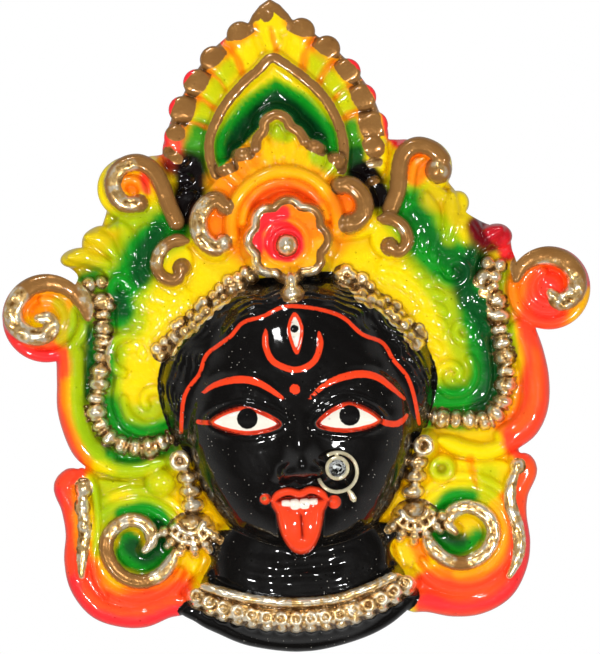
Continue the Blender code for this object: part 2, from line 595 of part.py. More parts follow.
def neck_height(point):
    """Height of the surface that the folds and the collar lie on."""
    across = min(abs(point[0]) / 58, 1.0)
    return BUST_FRONT - 7 + (NECK_FRONT - BUST_FRONT + 6) * math.sqrt(1.0 - across ** 2)


def one_body(name, collection, forms, cell, triangles):
    """Joins overlapping forms into one closed body and thins it to about the given number of triangles."""
    together = bmesh.new()
    for form in forms.objects:
        start = len(together.verts)
        together.from_mesh(form.data)
        together.verts.ensure_lookup_table()
        bmesh.ops.transform(together, matrix=form.matrix_world, verts=together.verts[start:])
    for vert in together.verts:
        vert.co.y = min(vert.co.y, 0.0)
    mesh = bpy.data.meshes.new(name)
    together.to_mesh(mesh)
    together.free()
    rough = bpy.data.objects.new("rough", mesh)
    bpy.context.scene.collection.objects.link(rough)
    remesh = rough.modifiers.new("one body", "REMESH")
    remesh.mode = "VOXEL"
    remesh.voxel_size = cell * MM
    soften = rough.modifiers.new("soften", "SMOOTH")
    soften.factor = 0.5
    soften.iterations = 1
    bpy.context.view_layer.update()
    quads = len(rough.evaluated_get(bpy.context.evaluated_depsgraph_get()).data.polygons)
    thin = rough.modifiers.new("thin", "DECIMATE")
    thin.ratio = triangles / (2 * quads)
    bpy.context.view_layer.update()
    evaluated = rough.evaluated_get(bpy.context.evaluated_depsgraph_get())
    body = bpy.data.objects.new(name, bpy.data.meshes.new_from_object(evaluated))
    bpy.data.objects.remove(rough)
    for form in list(forms.objects):
        bpy.data.objects.remove(form)
    bpy.data.collections.remove(forms)
    bm = bmesh.new()
    bm.from_mesh(body.data)
    drop_crumbs(bm)
    for vert in bm.verts:
        if vert.co.y > -cell / 2 * MM:
            vert.co.y = 0.0
    bmesh.ops.dissolve_degenerate(bm, dist=0.00002, edges=bm.edges)
    bm.to_mesh(body.data)
    bm.free()
    collection.objects.link(body)
    return body


def drop_crumbs(bm):
    """Deletes the specks that thinning leaves inside the body, so that only the largest body stays."""
    bodies = []
    waiting = set(bm.verts)
    while waiting:
        front = [waiting.pop()]
        body = list(front)
        while front:
            for edge in front.pop().link_edges:
                for vert in edge.verts:
                    if vert in waiting:
                        waiting.discard(vert)
                        front.append(vert)
                        body.append(vert)
        bodies.append(body)
    bodies.sort(key=len)
    bmesh.ops.delete(bm, geom=[vert for body in bodies[:-1] for vert in body], context="VERTS")


def ring_height(point):
    """The nose ring leans: its plane drops towards the cheek."""
    return RING_HEIGHT - RING_LEAN * (point[0] - RING_CENTRE[0])


def nose_ring(collection):
    """A wire hoop that is open at the nostril, with a cup for the stone and a small drop under it."""
    forms = bpy.data.collections.new("ring_forms")
    hoop = spiral(RING_CENTRE, RING_RADIUS, RING_RADIUS, 118, -162, 40)
    hook = [max(0.0, i / 40 - 0.84) / 0.16 for i in range(41)]
    heights = [ring_height(p) - RING_HOOK * back ** 2 for p, back in zip(hoop, hook)]
    join(forms, tube_mesh(hoop, RING_WIRE, heights), Matrix.Identity(4))
    lug = [(20, -61), (20, -63.5)]
    join(forms, tube_mesh(lug, RING_WIRE, [ring_height(p) for p in lug]), Matrix.Identity(4))
    base = ring_height(CUP_CENTRE)
    rim_reach = (CUP_RADIUS + STONE_RADIUS + FIT_GAP) / 2
    rim = spiral(CUP_CENTRE, rim_reach, rim_reach, 0, 360, 36)
    wire = (CUP_RADIUS - STONE_RADIUS - FIT_GAP) / 2
    join(forms, tube_mesh(rim, wire, base + CUP_DEPTH - wire), Matrix.Identity(4))
    join(forms, tube_mesh(rim, wire, base + wire), Matrix.Identity(4))
    slab(forms, rim[:-1], base + CUP_FLOOR, 0.3, base)
    drop = [(24.5, -79.3), (26, -81.5), (27, -84), (27.5, -85.5)]
    join(forms, tube_mesh(drop, 1.7, [ring_height(p) for p in drop], [0.45, 0.8, 1.0, 0.5], 3),
         Matrix.Identity(4))
    ring = one_body("nose_ring", collection, forms, 0.2, RING_TRIANGLES)
    ring.data.materials.append(paint("polished brass", (0.83, 0.68, 0.35), 0.22, 1.0))
    return ring


def nose_stone(collection):
    """A cut stone, turned with ten sides: a point at the back, a widest edge and a flat table in front."""
    profile = [(0, STONE_TABLE), (STONE_RADIUS * 0.62, STONE_TABLE), (STONE_RADIUS, STONE_GIRDLE), (0, 0)]
    mesh = bpy.data.meshes.new("nose_stone")
    mesh.from_pydata([(r * MM, 0.0, h * MM) for r, h in profile], [(0, 1), (1, 2), (2, 3)], [])
    stone = bpy.data.objects.new("nose_stone", mesh)
    stone.rotation_euler = (math.radians(90), 0.0, 0.0)
    stone.location = place(*CUP_CENTRE, ring_height(CUP_CENTRE) + CUP_FLOOR + FIT_GAP)
    collection.objects.link(stone)
    turn = stone.modifiers.new("turn", "SCREW")
    turn.steps = turn.render_steps = STONE_SIDES
    turn.use_merge_vertices = True
    turn.merge_threshold = 0.00005
    turn.use_smooth_shade = False
    mesh.materials.append(paint("cut glass", (0.85, 0.87, 0.9), 0.05))
    return stone


def paint(name, colour, roughness, metallic=0.0):
    material = bpy.data.materials.new(name)
    material.use_nodes = True
    shader = material.node_tree.nodes["Principled BSDF"]
    shader.inputs["Base Color"].default_value = (*colour, 1.0)
    shader.inputs["Roughness"].default_value = roughness
    shader.inputs["Metallic"].default_value = metallic
    return material


def main():
    for thing in list(bpy.data.objects):
        bpy.data.objects.remove(thing)
    collection = bpy.data.collections.new("kali_wall_plaque")
    bpy.context.scene.collection.children.link(collection)
    forms = bpy.data.collections.new("plaque_forms")
    for build in (panel, foliage, border, side_scrolls, top_scrolls, inner_scrolls, crown, crest, flower,
                  bead_strings, lower_scrolls, head, hair, jewellery, neck):
        build(forms)
    plaque = one_body("plaque", collection, forms, CELL, CASTING_TRIANGLES)
    plaque.data.materials.append(paint("painted plaster", (0.9, 0.6, 0.02), 0.3))
    nose_ring(collection)
    nose_stone(collection)


main()
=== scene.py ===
import math

import bpy
import numpy as np
from mathutils import Matrix, Vector
from mathutils.geometry import delaunay_2d_cdt


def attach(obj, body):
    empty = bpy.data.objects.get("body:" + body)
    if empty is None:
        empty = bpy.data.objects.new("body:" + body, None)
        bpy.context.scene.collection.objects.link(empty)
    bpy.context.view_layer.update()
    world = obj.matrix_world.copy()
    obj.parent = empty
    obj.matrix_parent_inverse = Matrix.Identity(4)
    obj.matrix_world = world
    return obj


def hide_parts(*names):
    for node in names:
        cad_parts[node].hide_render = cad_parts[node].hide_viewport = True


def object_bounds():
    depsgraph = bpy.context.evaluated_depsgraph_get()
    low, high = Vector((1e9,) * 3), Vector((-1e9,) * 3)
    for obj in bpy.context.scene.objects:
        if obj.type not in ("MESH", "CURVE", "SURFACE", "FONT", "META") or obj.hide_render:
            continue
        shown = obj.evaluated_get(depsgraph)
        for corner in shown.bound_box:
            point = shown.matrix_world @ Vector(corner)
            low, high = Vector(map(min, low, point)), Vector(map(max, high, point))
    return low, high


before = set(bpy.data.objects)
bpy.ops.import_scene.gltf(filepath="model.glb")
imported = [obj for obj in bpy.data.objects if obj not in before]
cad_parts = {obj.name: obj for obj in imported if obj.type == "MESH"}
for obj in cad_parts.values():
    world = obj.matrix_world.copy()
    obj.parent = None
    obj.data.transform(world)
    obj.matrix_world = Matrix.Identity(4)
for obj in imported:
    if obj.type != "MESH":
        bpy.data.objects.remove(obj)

# A cast plaster wall plaque of Kali, sprayed and brushed by hand. Places are millimetres in the plaque's own
# plane: x to the viewer's right, z up, and heights are measured forward from the flat back at y = 0.
mm = 0.001
cadBox = [list(corner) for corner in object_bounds()]
chance = np.random.default_rng(31)

heights = {"panel": 9.0, "foliage": 14.5, "lowerPanel": 12.0, "crest": 20.0, "scroll": 20.0, "crestTop": 27.0,
           "bust": 24.0, "neck": 34.0}
faceOval = {"centre": (3.0, -40.0), "halfWidth": 58.0, "up": 66.0, "down": 74.0, "edge": 12.0, "rise": 45.0,
            "fullness": 2.3}
hairOval = {"centre": (3.0, -26.0), "halfWidth": 68.0, "up": 52.0, "down": 60.0, "edge": 13.0, "rise": 38.0,
            "fullness": 1.8}

# The relief is worked out on one even grid, and the mesh keeps more of its points where the form is busy.
grid = {"step": 0.5, "left": -147.0, "right": 157.0, "bottom": -166.0, "top": 169.0, "points": 90000}
gridX, gridZ = np.meshgrid(np.arange(grid["left"], grid["right"], grid["step"]),
                           np.arange(grid["bottom"], grid["top"], grid["step"]))
nowhere = -60.0
skirt = 3.5    # how steeply a form falls beyond its outline, mm a mm
height = np.full(gridX.shape, nowhere)
inside = np.full(gridX.shape, nowhere)
paintNames = ("gold", "pale", "skin", "red", "white", "iris", "hollowShade", "raised")
paint = {name: np.full(gridX.shape, nowhere) for name in paintNames}


def smoothPath(points, step=2.0, closed=False):
    # Catmull-Rom curve through the points, cut into pieces of about step mm
    p = np.asarray(points, float)
    if len(p) < 3:
        return p
    p = np.vstack([p[-1], p, p[:2]]) if closed else np.vstack([2 * p[0] - p[1], p, 2 * p[-1] - p[-2]])
    out = []
    for a, b, c, d in zip(p, p[1:], p[2:], p[3:]):
        t = np.linspace(0, 1, max(2, int(np.hypot(*(c - b)) / step) + 1), endpoint=False)[:, None]
        out.append(0.5 * (2 * b + (c - a) * t + (2 * a - 5 * b + 4 * c - d) * t ** 2
                          + (3 * b - 3 * c + d - a) * t ** 3))
    return np.vstack(out + [p[-2][None]])


def spiralPath(centre, firstRadius, lastRadius, firstTurn, lastTurn, step=2.0):
    # radius and angle both run evenly from first to last, angles in degrees anticlockwise
    turns = math.radians(lastTurn - firstTurn)
    count = max(8, int(abs(turns) * max(firstRadius, lastRadius) / step))
    t = np.linspace(0, 1, count + 1)
    angle = math.radians(firstTurn) + turns * t
    radius = firstRadius + (lastRadius - firstRadius) * t
    return np.column_stack([centre[0] + radius * np.cos(angle), centre[1] + radius * np.sin(angle)])


def evenPath(points, pitch):
    # the same curve with points at an even pitch, by linear interpolation along its length
    p = np.asarray(points, float)
    run = np.concatenate([[0], np.cumsum(np.hypot(*np.diff(p, axis=0).T))])
    stops = np.linspace(0, run[-1], max(2, int(round(run[-1] / pitch)) + 1))
    return np.column_stack([np.interp(stops, run, p[:, 0]), np.interp(stops, run, p[:, 1])])


def window(points, reach):
    # the rows and columns of the grid that lie within reach of the points
    low, high = np.min(points, axis=0) - reach, np.max(points, axis=0) + reach
    spans = []
    for axis, start in ((1, grid["bottom"]), (0, grid["left"])):
        cells = ((np.array([low[axis], high[axis]]) - start) / grid["step"]).astype(int) + [0, 2]
        spans.append(slice(*np.clip(cells, 0, gridX.shape[1 - axis])))
    return tuple(spans)


def pathDistance(path, reach):
    # distance to the nearest piece of the path, and how far along it that is, from 0 to 1
    spot = window(path, reach)
    x, z = gridX[spot], gridZ[spot]
    best = np.full(x.shape, 1e6)
    along = np.zeros(x.shape)
    sizes = np.maximum(np.hypot(*np.diff(path, axis=0).T), 1e-6)
    run = 0.0
    for (ax, az), (bx, bz), size in zip(path, path[1:], sizes):
        t = np.clip(((x - ax) * (bx - ax) + (z - az) * (bz - az)) / size ** 2, 0, 1)
        d = np.hypot(x - ax - t * (bx - ax), z - az - t * (bz - az))
        near = d < best
        best[near] = d[near]
        along[near] = ((run + t * size) / sizes.sum())[near]
        run += size
    return spot, best, along


def areaDistance(outline, reach=8.0):
    # distance to the outline, positive inside it, by counting how often a line to the right crosses it
    spot, best, _ = pathDistance(np.vstack([outline, outline[:1]]), reach)
    x, z = gridX[spot], gridZ[spot]
    odd = np.zeros(x.shape, bool)
    for (ax, az), (bx, bz) in zip(outline, np.roll(outline, -1, axis=0)):
        if az != bz:
            crosses = ((az > z) != (bz > z)) & (x < (bx - ax) * (z - az) / (bz - az) + ax)
            odd ^= crosses
    return spot, np.where(odd, best, -best)


def step01(low, high, values):
    # smooth step from 0 at low to 1 at high
    t = np.clip((values - low) / (high - low), 0, 1)
    return t * t * (3 - 2 * t)


def lift(spot, values, soft=1.2):
    # smooth maximum: the higher of two surfaces, with a fillet of about soft mm where they meet
    old = height[spot]
    share = np.clip(0.5 + 0.5 * (values - old) / soft, 0, 1)
    height[spot] = old * (1 - share) + values * share + soft / 2 * share * (1 - share)


def cover(name, spot, values):
    # widens a painted area: the larger of two distances
    paint[name][spot] = np.maximum(paint[name][spot], values)


def thinning(along, taper):
    # full width in the middle, down to nearly half at both ends
    if taper <= 0:
        return np.ones_like(along)
    end = np.minimum(along, 1 - along) / taper
    return np.where(end >= 1, 1.0, 0.45 + 0.55 * np.sin(np.pi / 2 * np.clip(end, 0, 1)))


def ridge(path, radius, top, taper=0.0, soft=1.2, gold=None, edge=False, squash=1.0):
    # a round bar sunk in the ground: top - r + sqrt(r^2 - d^2), and a steep skirt beyond r.
    # top is a number, or a function of x and z. gold is the half width of the bronze painted on it.
    spot, d, along = pathDistance(path, radius + 4)
    r = radius * thinning(along, taper)
    peak = top(gridX[spot], gridZ[spot]) if callable(top) else top
    dome = np.sqrt(np.maximum(r ** 2 - d ** 2, 0)) * squash
    lift(spot, peak - r * squash + np.where(d < r, dome, (r - d) * skirt), soft)
    if edge:
        inside[spot] = np.maximum(inside[spot], r - d)
    if gold is not None:
        cover("gold", spot, gold * thinning(along, taper) - d)


def plate(outline, front, corner=2.0, soft=1.2, edge=False):
    # a flat plate with a quarter-round edge of radius e, its corner: front - e + sqrt(e^2 - (e - d)^2)
    spot, d = areaDistance(outline)
    lip = np.sqrt(np.maximum(corner ** 2 - np.clip(corner - d, 0, corner) ** 2, 0))
    lift(spot, front - corner + np.where(d > 0, lip, d * skirt), soft)
    if edge:
        inside[spot] = np.maximum(inside[spot], d)


def ovalShare(spot, centre, radii, turn=0.0):
    # distance from the centre as a share of the turned oval's own radius there, so 1 on its outline
    a = math.radians(turn)
    x, z = gridX[spot] - centre[0], gridZ[spot] - centre[1]
    u = (x * math.cos(a) + z * math.sin(a)) / radii[0]
    v = (-x * math.sin(a) + z * math.cos(a)) / radii[1]
    return np.hypot(u, v)


def mound(centre, radii, top, depth, turn=0.0, soft=1.2, gold=None, edge=False, power=2.0):
    # a sunk egg: top - depth + depth * (1 - q^p)^(1/p), where q is 1 on its oval outline and p its power
    spot = window([centre], max(radii) + 3)
    q = ovalShare(spot, centre, radii, turn)
    d = (1 - q) * min(radii)
    dome = depth * np.maximum(1 - q ** power, 0) ** (1 / power)
    lift(spot, top - depth + np.where(q < 1, dome, d * skirt), soft)
    if edge:
        inside[spot] = np.maximum(inside[spot], d)
    if gold is not None:
        cover("gold", spot, d + gold)


def swell(centre, radii, rise):
    # a soft hill added to what is there: rise * exp(-q^2)
    spot = window([centre], 2.6 * max(radii))
    height[spot] += rise * np.exp(-ovalShare(spot, centre, radii) ** 2)


def crease(path, width, depth, taper=0.15):
    # a soft furrow, or with a negative depth a soft welt: depth * exp(-(d / width)^2)
    spot, d, along = pathDistance(path, 3 * width)
    fade = step01(0, max(taper, 1e-3), np.minimum(along, 1 - along))
    height[spot] -= depth * fade * np.exp(-(d / width) ** 2)


def stroke(name, points, halfWidth, taper=0.0, closed=False):
    # brushed paint along a path: half width minus distance
    path = smoothPath(points, 1.0, closed)
    spot, d, along = pathDistance(path, halfWidth + 3)
    cover(name, spot, halfWidth * thinning(along, taper) - d)


def domeHeight(oval, x, z):
    # edge + rise * (1 - q^f)^(1/f) over an oval whose upper and lower halves differ, q being 1 on its outline
    v = z - oval["centre"][1]
    q = np.hypot((x - oval["centre"][0]) / oval["halfWidth"], v / np.where(v > 0, oval["up"], oval["down"]))
    body = np.maximum(1 - q ** oval["fullness"], 0) ** (1 / oval["fullness"])
    return np.where(q < 1, oval["edge"] + oval["rise"] * body, oval["edge"] - (q - 1) * 60), 1 - q


def faceHeight(x, z):
    return domeHeight(faceOval, x, z)[0]


def hairHeight(x, z):
    return domeHeight(hairOval, x, z)[0]


def headHeight(x, z):
    return np.maximum(faceHeight(x, z), hairHeight(x, z))


panel = {
    "right": [(57, 92), (72, 82), (86, 66), (91, 54), (104, 46), (112, 42), (114, 31), (118, 12), (122, -5),
              (120, -22), (119, -44), (113, -58), (111, -66), (113, -77), (107, -92), (108, -112), (103, -130),
              (88, -140), (66, -140), (46, -136)],
    "left": [(-46, -134), (-64, -134), (-84, -138), (-103, -131), (-111, -112), (-111, -88), (-114, -72),
             (-105, -63), (-108, -44), (-110, -22), (-111, -6), (-110, 18), (-103, 32), (-110, 41), (-98, 47),
             (-91, 55), (-85, 68), (-74, 80), (-58, 91)],
    "field": [(-97, 44), (-86, 26), (-86, -10), (-89, -34), (-78, -48), (-50, -45), (50, -42), (86, -43),
              (99, -34), (98, 0), (94, 22), (100, 42), (88, 58), (62, 70), (-60, 70), (-84, 58)],
}


def makePanel():
    plate(smoothPath(panel["right"] + panel["left"], closed=True), heights["panel"], 2.5, edge=True)
    plate(smoothPath(panel["field"], closed=True), heights["foliage"], 2.5)


border = {
    "sideRight": [(116, -8), (119, -18), (121, -31), (120, -44), (115, -54), (106, -60)],
    "sideLeft": [(-109, -6), (-109.5, -20), (-110, -33), (-107, -46), (-103, -54), (-96, -59)],
    "lowerRight": [(109, -69), (114, -76), (109, -87), (107.5, -98), (108.5, -112), (106, -124), (99, -135),
                   (87, -141), (74, -141.5), (61, -138.5), (49, -138.5)],
    "lowerLeft": [(-107, -65), (-115.5, -71), (-112.5, -82), (-111, -95), (-112.5, -108), (-110.5, -121),
                  (-103, -132), (-92, -137), (-80, -138), (-68, -134), (-57, -133)],
    "ridgeRight": [(108, -62), (95, -66), (84, -64), (72, -59)],
    "ridgeLeft": [(-100, -59), (-90, -64), (-78, -65), (-66, -62)],
}


def makeBorder():
    top = heights["panel"]
    for name in ("sideRight", "sideLeft"):
        ridge(smoothPath(border[name]), 7.2, top + 7.5, edge=True, soft=2)
    for name in ("lowerRight", "lowerLeft"):
        ridge(smoothPath(border[name]), 5.6, top + 7.0, 0.05, edge=True, soft=2)
    for name in ("ridgeRight", "ridgeLeft"):
        ridge(smoothPath(border[name]), 4.0, top + 7.5, 0.2, soft=2)


sideScrolls = [
    {"centre": (130.5, 13.5), "radius": 20.7, "turns": (110, 330), "foil": (0.6, 1.0),
     "band": [(114.5, 19), (117, 26), (124, 29.5), (132, 29.5), (139.5, 26), (144, 19.5), (144, 12.5),
              (140, 7.5), (134.5, 7), (131, 11)]},
    {"centre": (-119.8, 12.8), "radius": 22.0, "turns": (95, -130), "foil": (0.45, 1.0),
     "band": [(-99, 12), (-100.5, 19), (-105.5, 26), (-113, 30), (-121.5, 30.5), (-129.5, 27), (-135, 20.5),
              (-136, 12.5), (-131.5, 6.5), (-124.5, 4), (-118.5, 6.5), (-118.5, 12), (-123.5, 13)]},
]
volute = {"rim": 3.0, "band": 4.6, "ring": 2.4, "wrinklePitch": 3.2, "wrinkleDepth": 1.0}


def makeSideScrolls():
    top = heights["scroll"]
    for scroll in sideScrolls:
        centre, radius = scroll["centre"], scroll["radius"]
        plate(spiralPath(centre, radius, radius, 0, 360)[:-1], heights["panel"] + 3, volute["rim"], edge=True)
        ridge(spiralPath(centre, radius - 3, radius - 3, 0, 360), volute["rim"], top - 5, soft=2)
        mound(centre, (radius * 0.4,) * 2, top - 2, 8, soft=2)
        for share, drop in ((0.62, 3.5), (0.42, 2.5)):
            ridge(spiralPath(centre, radius * share, radius * share * 0.9, *scroll["turns"]), volute["ring"],
                  top - drop, soft=1.5)
        band = smoothPath(scroll["band"], 1.0)
        ridge(band, volute["band"], top, 0.12, gold=volute["band"] + 0.2, squash=0.55)
        crumple(band, scroll["foil"])


def crumple(band, foil):
    # crushed like foil on the chosen share of the band: uneven lumps about one wrinkle pitch wide
    spot, d, along = pathDistance(band, volute["band"] + 2)
    wave = handUnevenness(volute["wrinklePitch"], 1.0)[spot]
    share = step01(foil[0], foil[0] + 0.12, along) * step01(volute["band"] + 0.6, volute["band"] - 0.8, d)
    height[spot] += volute["wrinkleDepth"] * wave * share


topScrolls = {
    "left": [(-52.5, 57), (-56, 66), (-58.5, 75), (-62.5, 83), (-69.5, 87.5), (-77.5, 86), (-82.5, 79.5),
             (-82, 72), (-77, 67), (-70, 67)],
    "right": [(54, 57), (58, 66), (59.5, 76), (62, 84), (68.5, 88), (76, 86), (81, 80.5)],
    "leftKnob": ((-70, 68), 3.6), "rightKnob": ((79, 75), 6.5),
    "leftDisc": ((-75.5, 75), 15.5), "rightDisc": ((72, 77), 14.0), "band": 4.2,
}
innerScrolls = [
    {"path": [(-28, 63), (-32, 66.5), (-38, 63.5), (-41.5, 56), (-40, 48), (-34.5, 43), (-29.5, 44.5)],
     "knob": (-29.5, 45), "reach": 4.3},
    {"path": [(29.5, 70), (35.5, 69.5), (40.5, 63.5), (40.5, 56), (35, 50.5), (32.5, 50)],
     "knob": (33, 51), "reach": 5.3},
]
smallLoops = [
    {"path": [(-47.5, 47), (-54, 47.5), (-60.5, 43.5), (-63.5, 36.5), (-61, 30), (-55, 28), (-50.5, 32)],
     "knob": (-51, 34), "centre": (-56.5, 38)},
    {"path": [(48, 52.5), (54.5, 52), (60, 47.5), (61.5, 40.5), (57.5, 36), (52.5, 37)],
     "knob": (52.5, 38.5), "centre": (54, 43)},
]


def makeTopScrolls():
    top = heights["scroll"]
    for side in ("left", "right"):
        centre, radius = topScrolls[side + "Disc"]
        knob, reach = topScrolls[side + "Knob"]
        plate(spiralPath(centre, radius, radius, 0, 360)[:-1], heights["panel"] + 5, 2.5, edge=True)
        path = smoothPath(topScrolls[side], 1.0)
        ridge(path, topScrolls["band"], top, edge=True, gold=topScrolls["band"] + 0.1, squash=0.75)
        crease(path[8:-8], 1.1, 0.5)
        mound(knob, (reach, reach), top + 0.5, 6, gold=0.2)
    ridge(spiralPath((-75, 74), 7.5, 3.0, -60, 220), 2.0, top - 2)
    ridge(smoothPath([(64, 62), (65.5, 72), (67.5, 79), (72, 81.5)]), 2.0, top - 2.5, 0.2)


def makeInnerScrolls():
    # The combs beside the flower carry fine ribs along their length, and each ends in a ball.
    for comb in innerScrolls:
        path = smoothPath(comb["path"], 1.0)
        ridge(path, 4.4, heights["crestTop"], 0.1, gold=4.6, squash=0.85)
        for offset in (-1.6, 1.2):
            crease(path[3:-3] + [offset, offset * 0.4], 0.7, 0.7)
        mound(comb["path"][0], (4.4, 4.4), heights["crestTop"], 5, gold=0.3)
        mound(comb["knob"], (comb["reach"],) * 2, heights["crestTop"] + 0.8, 6, gold=0.2)
    for loop in smallLoops:
        plate(spiralPath(loop["centre"], 11, 11, 0, 360)[:-1], heights["scroll"] - 1, 2.5, soft=2)
        ridge(smoothPath(loop["path"], 1.0), 3.2, heights["scroll"] + 2.5, 0.1, gold=3.3)
        mound(loop["knob"], (4.6, 4.6), heights["scroll"] + 3, 6, gold=0.2)


crown = {
    "hub": (0, 92), "fingerFoot": 0.66, "finger": 5.9,
    "lobes": [(15, 148), (27, 138.5), (36.5, 126.5), (43.5, 113.5), (48.5, 99.5),
              (-15.5, 148), (-29.5, 136.5), (-38.5, 125.5), (-46.5, 112.5), (-49.5, 99)],
    "lobeRadius": 6.8, "ground": 3.5,
    "fan": [(-57, 88), (-54, 104), (-46, 119.5), (-38, 132), (-27, 144), (-13, 153), (0, 157), (12, 153.5),
            (24.5, 144), (35.5, 134), (46, 119.5), (51, 107), (55, 92), (42, 70), (-42, 70)],
    "tip": [(-12.5, 151), (-9, 157.5), (-5, 162), (0, 165.1), (5, 161.8), (9, 157), (12.5, 151), (0, 144)],
    "leaf": [(-31.5, 79), (-34, 88), (-33.5, 97), (-30, 105), (-26, 112), (-20, 119), (-13, 125.5), (-7, 130),
             (-0.5, 135.5), (7, 131), (13, 126), (19, 120.5), (24, 114.5), (28, 107.5), (31.5, 98), (32.5, 88),
             (31, 78)],
    "lowerLobes": [((47, 89), (7.5, 6)), ((47.5, 78.5), (6.0, 3.6)), ((46.5, 70.5), (4.0, 3.2)),
                   ((-50, 88), (7, 5)), ((-48, 78), (6, 3.6)), ((-46, 70), (5, 3))],
    "caps": [(15, 148, 2.8), (27, 138.5, 3.6), (36.5, 126.5, 4.2), (43.5, 113.5, 5.5), (47.5, 100.5, 7),
             (-15.5, 148, 2.6), (-29.5, 136.5, 3.4), (-38.5, 125.5, 5.4), (-46.5, 112.5, 6.5)],
    "dabs": [([(-51, 102), (-50, 101)], 4.4), ([(-55, 92), (-50, 88)], 2.6), ([(47, 90), (48, 88)], 5.2),
             ([(46, 80.5), (49, 81)], 2.6), ([(45.5, 71.5), (47.5, 72)], 2.2)],
    "capWidth": 7.6, "capReach": 9.0, "lowCapReach": 4.6, "leafFoot": [(24, 46), (-24, 46)],
}


def makeCrown():
    top = heights["panel"]
    ground = top + crown["ground"]
    plate(smoothPath(crown["fan"], closed=True), ground, 3, edge=True)
    hub = np.array(crown["hub"])
    for lobe in np.array(crown["lobes"], float):
        foot = hub + (lobe - hub) * crown["fingerFoot"]
        ridge(np.array([foot, lobe]), crown["finger"], ground + 1.9, edge=True, soft=2.5, squash=0.42)
        mound(lobe, (crown["lobeRadius"],) * 2, ground + 1.8, 2.4, edge=True, power=5.0, soft=3)
    plate(np.array(crown["tip"], float), ground + 2, 2, edge=True)
    ridge(smoothPath([(-0.5, 140), (-0.5, 150), (0, 157)]), 5.5, top + 6.5, 0.3, squash=0.6)
    for place, radii in crown["lowerLobes"]:
        mound(place, radii, top + 6, 5, power=3.0)
    for x, z, depth in crown["caps"]:
        cap((x, z), hub, depth)
    for points, halfWidth in crown["dabs"]:
        stroke("gold", points, halfWidth)
    stroke("gold", [(-9, 157), (-5, 160.5), (0, 163), (5, 160), (8, 157)], 3.4)
    stroke("gold", [(-1, 163), (-2, 157)], 3.6)
    for groove in crownGrooves():
        crease(groove, 1.1, 1.8, 0.04)
    leafBowl()


def crownGrooves():
    # one bent line between each two ribs, from the leaf's rim out to the notch between their lobes
    hub = np.array(crown["hub"])
    lobes = np.array(crown["lobes"], float)
    order = lobes[np.argsort(np.arctan2(*(lobes - hub).T[::-1]))]
    grooves = []
    for a, b in zip(order, order[1:]):
        notch = hub + ((a + b) / 2 - hub) * 1.04
        arm = notch - hub
        bend = arm[::-1] * [-0.035, 0.035] * math.copysign(1, notch[0])
        grooves.append(smoothPath([hub + arm * 0.64, hub + arm * 0.82 + bend, notch], 1.0))
    return grooves


def cap(place, hub, depth):
    # bronze brushed over a lobe's end: a rounded box, depth mm inward along the rib and as wide as the lobe
    spot = window([place], 14)
    x, z = gridX[spot] - place[0], gridZ[spot] - place[1]
    dx, dz = (np.array(place) - hub) / np.hypot(*(np.array(place) - hub))
    out, across = x * dx + z * dz, np.abs(z * dx - x * dz)
    inward = depth + np.minimum(out, 0) - 0.09 * across ** 1.5
    rim = crown["capReach"] if place[1] > 130 else crown["lowCapReach"]
    cover("gold", spot, np.minimum(np.minimum(inward, crown["capWidth"] - across), rim - out))


def leafBowl():
    # inside the leaf's flat rim the ground falls 3 mm in a steep bevel, then 5 mm in a smooth bowl
    leaf = smoothPath(crown["leaf"], 1.0)
    top = heights["panel"] + 9.5
    spot, d = areaDistance(np.vstack([leaf, crown["leafFoot"]]), 4)
    bowl = top - 0.8 - 3.0 * step01(1.8, 4.2, d) - 5.0 * step01(4, 15, d)
    height[spot] = np.where(d > 0, bowl, height[spot])
    ridge(leaf, 2.9, top, gold=2.5, squash=0.45)


crest = {
    "outline": [(-31, 78), (-24, 87), (-12, 98), (0.5, 107), (12, 98), (24, 87), (33, 78), (44, 62), (40, 44),
                (-38, 44), (-42, 62)],
    "horseshoe": [(-11, 91), (-10, 95.5), (-6.5, 99.5), (-5.5, 104), (0, 106.8), (5, 104.5), (6.5, 101),
                  (11, 97.5), (13.3, 93)],
    "lobes": [(-26.5, 81.5), (-17.5, 88.5), (18.5, 90), (28.5, 82.5)],
    "flutes": [(-20, 84), (-13, 91), (-7, 96), (0, 100), (7, 97), (13, 91), (21, 85)],
    "dabs": [([(-29.5, 80), (-22.5, 82.5)], 2.7), ([(-20.5, 88), (-14.5, 88.5)], 3.2),
             ([(15.5, 91.5), (21.5, 88)], 3.0), ([(27, 84.5), (30.5, 80.5)], 3.0)],
    "arch": (1.0, 52.0), "archRadius": 26.5,
}


def makeCrest():
    front = heights["crest"]
    plate(smoothPath(crest["outline"], closed=True), front, 3)
    hub = np.array(crest["arch"])
    for lobe in np.array(crest["lobes"]):
        ridge(np.array([hub + (lobe - hub) * 0.62, lobe]), 3.1, front + 3, squash=0.8)
        mound(lobe, (4.8, 4.2), front + 4, 4)
    for tip in np.array(crest["flutes"], float):
        ridge(np.array([hub + (tip - hub) * 0.68, tip]), 3.4, front + 1.8, 0.4, soft=3, squash=0.6)
    ridge(smoothPath(crest["horseshoe"], 1.0), 2.7, front + 5, gold=2.6, squash=0.6)
    swell((0, 96), (5, 6), -2.0)
    for points, halfWidth in crest["dabs"]:
        stroke("gold", points, halfWidth)
    reach = crest["archRadius"]
    ridge(spiralPath(hub, reach, reach, 190, -10), 3.0, heights["crestTop"])
    ridge(spiralPath(hub, reach - 5.5, reach - 5.5, 172, 8), 2.0, heights["crestTop"] - 0.5)


flower = {"centre": (2.5, 44.5), "reach": 18.8, "scallop": 2.6, "petals": 8, "firstPetal": 88,
          "disc": (0.8, 43.4), "button": (1.7, 41.8)}


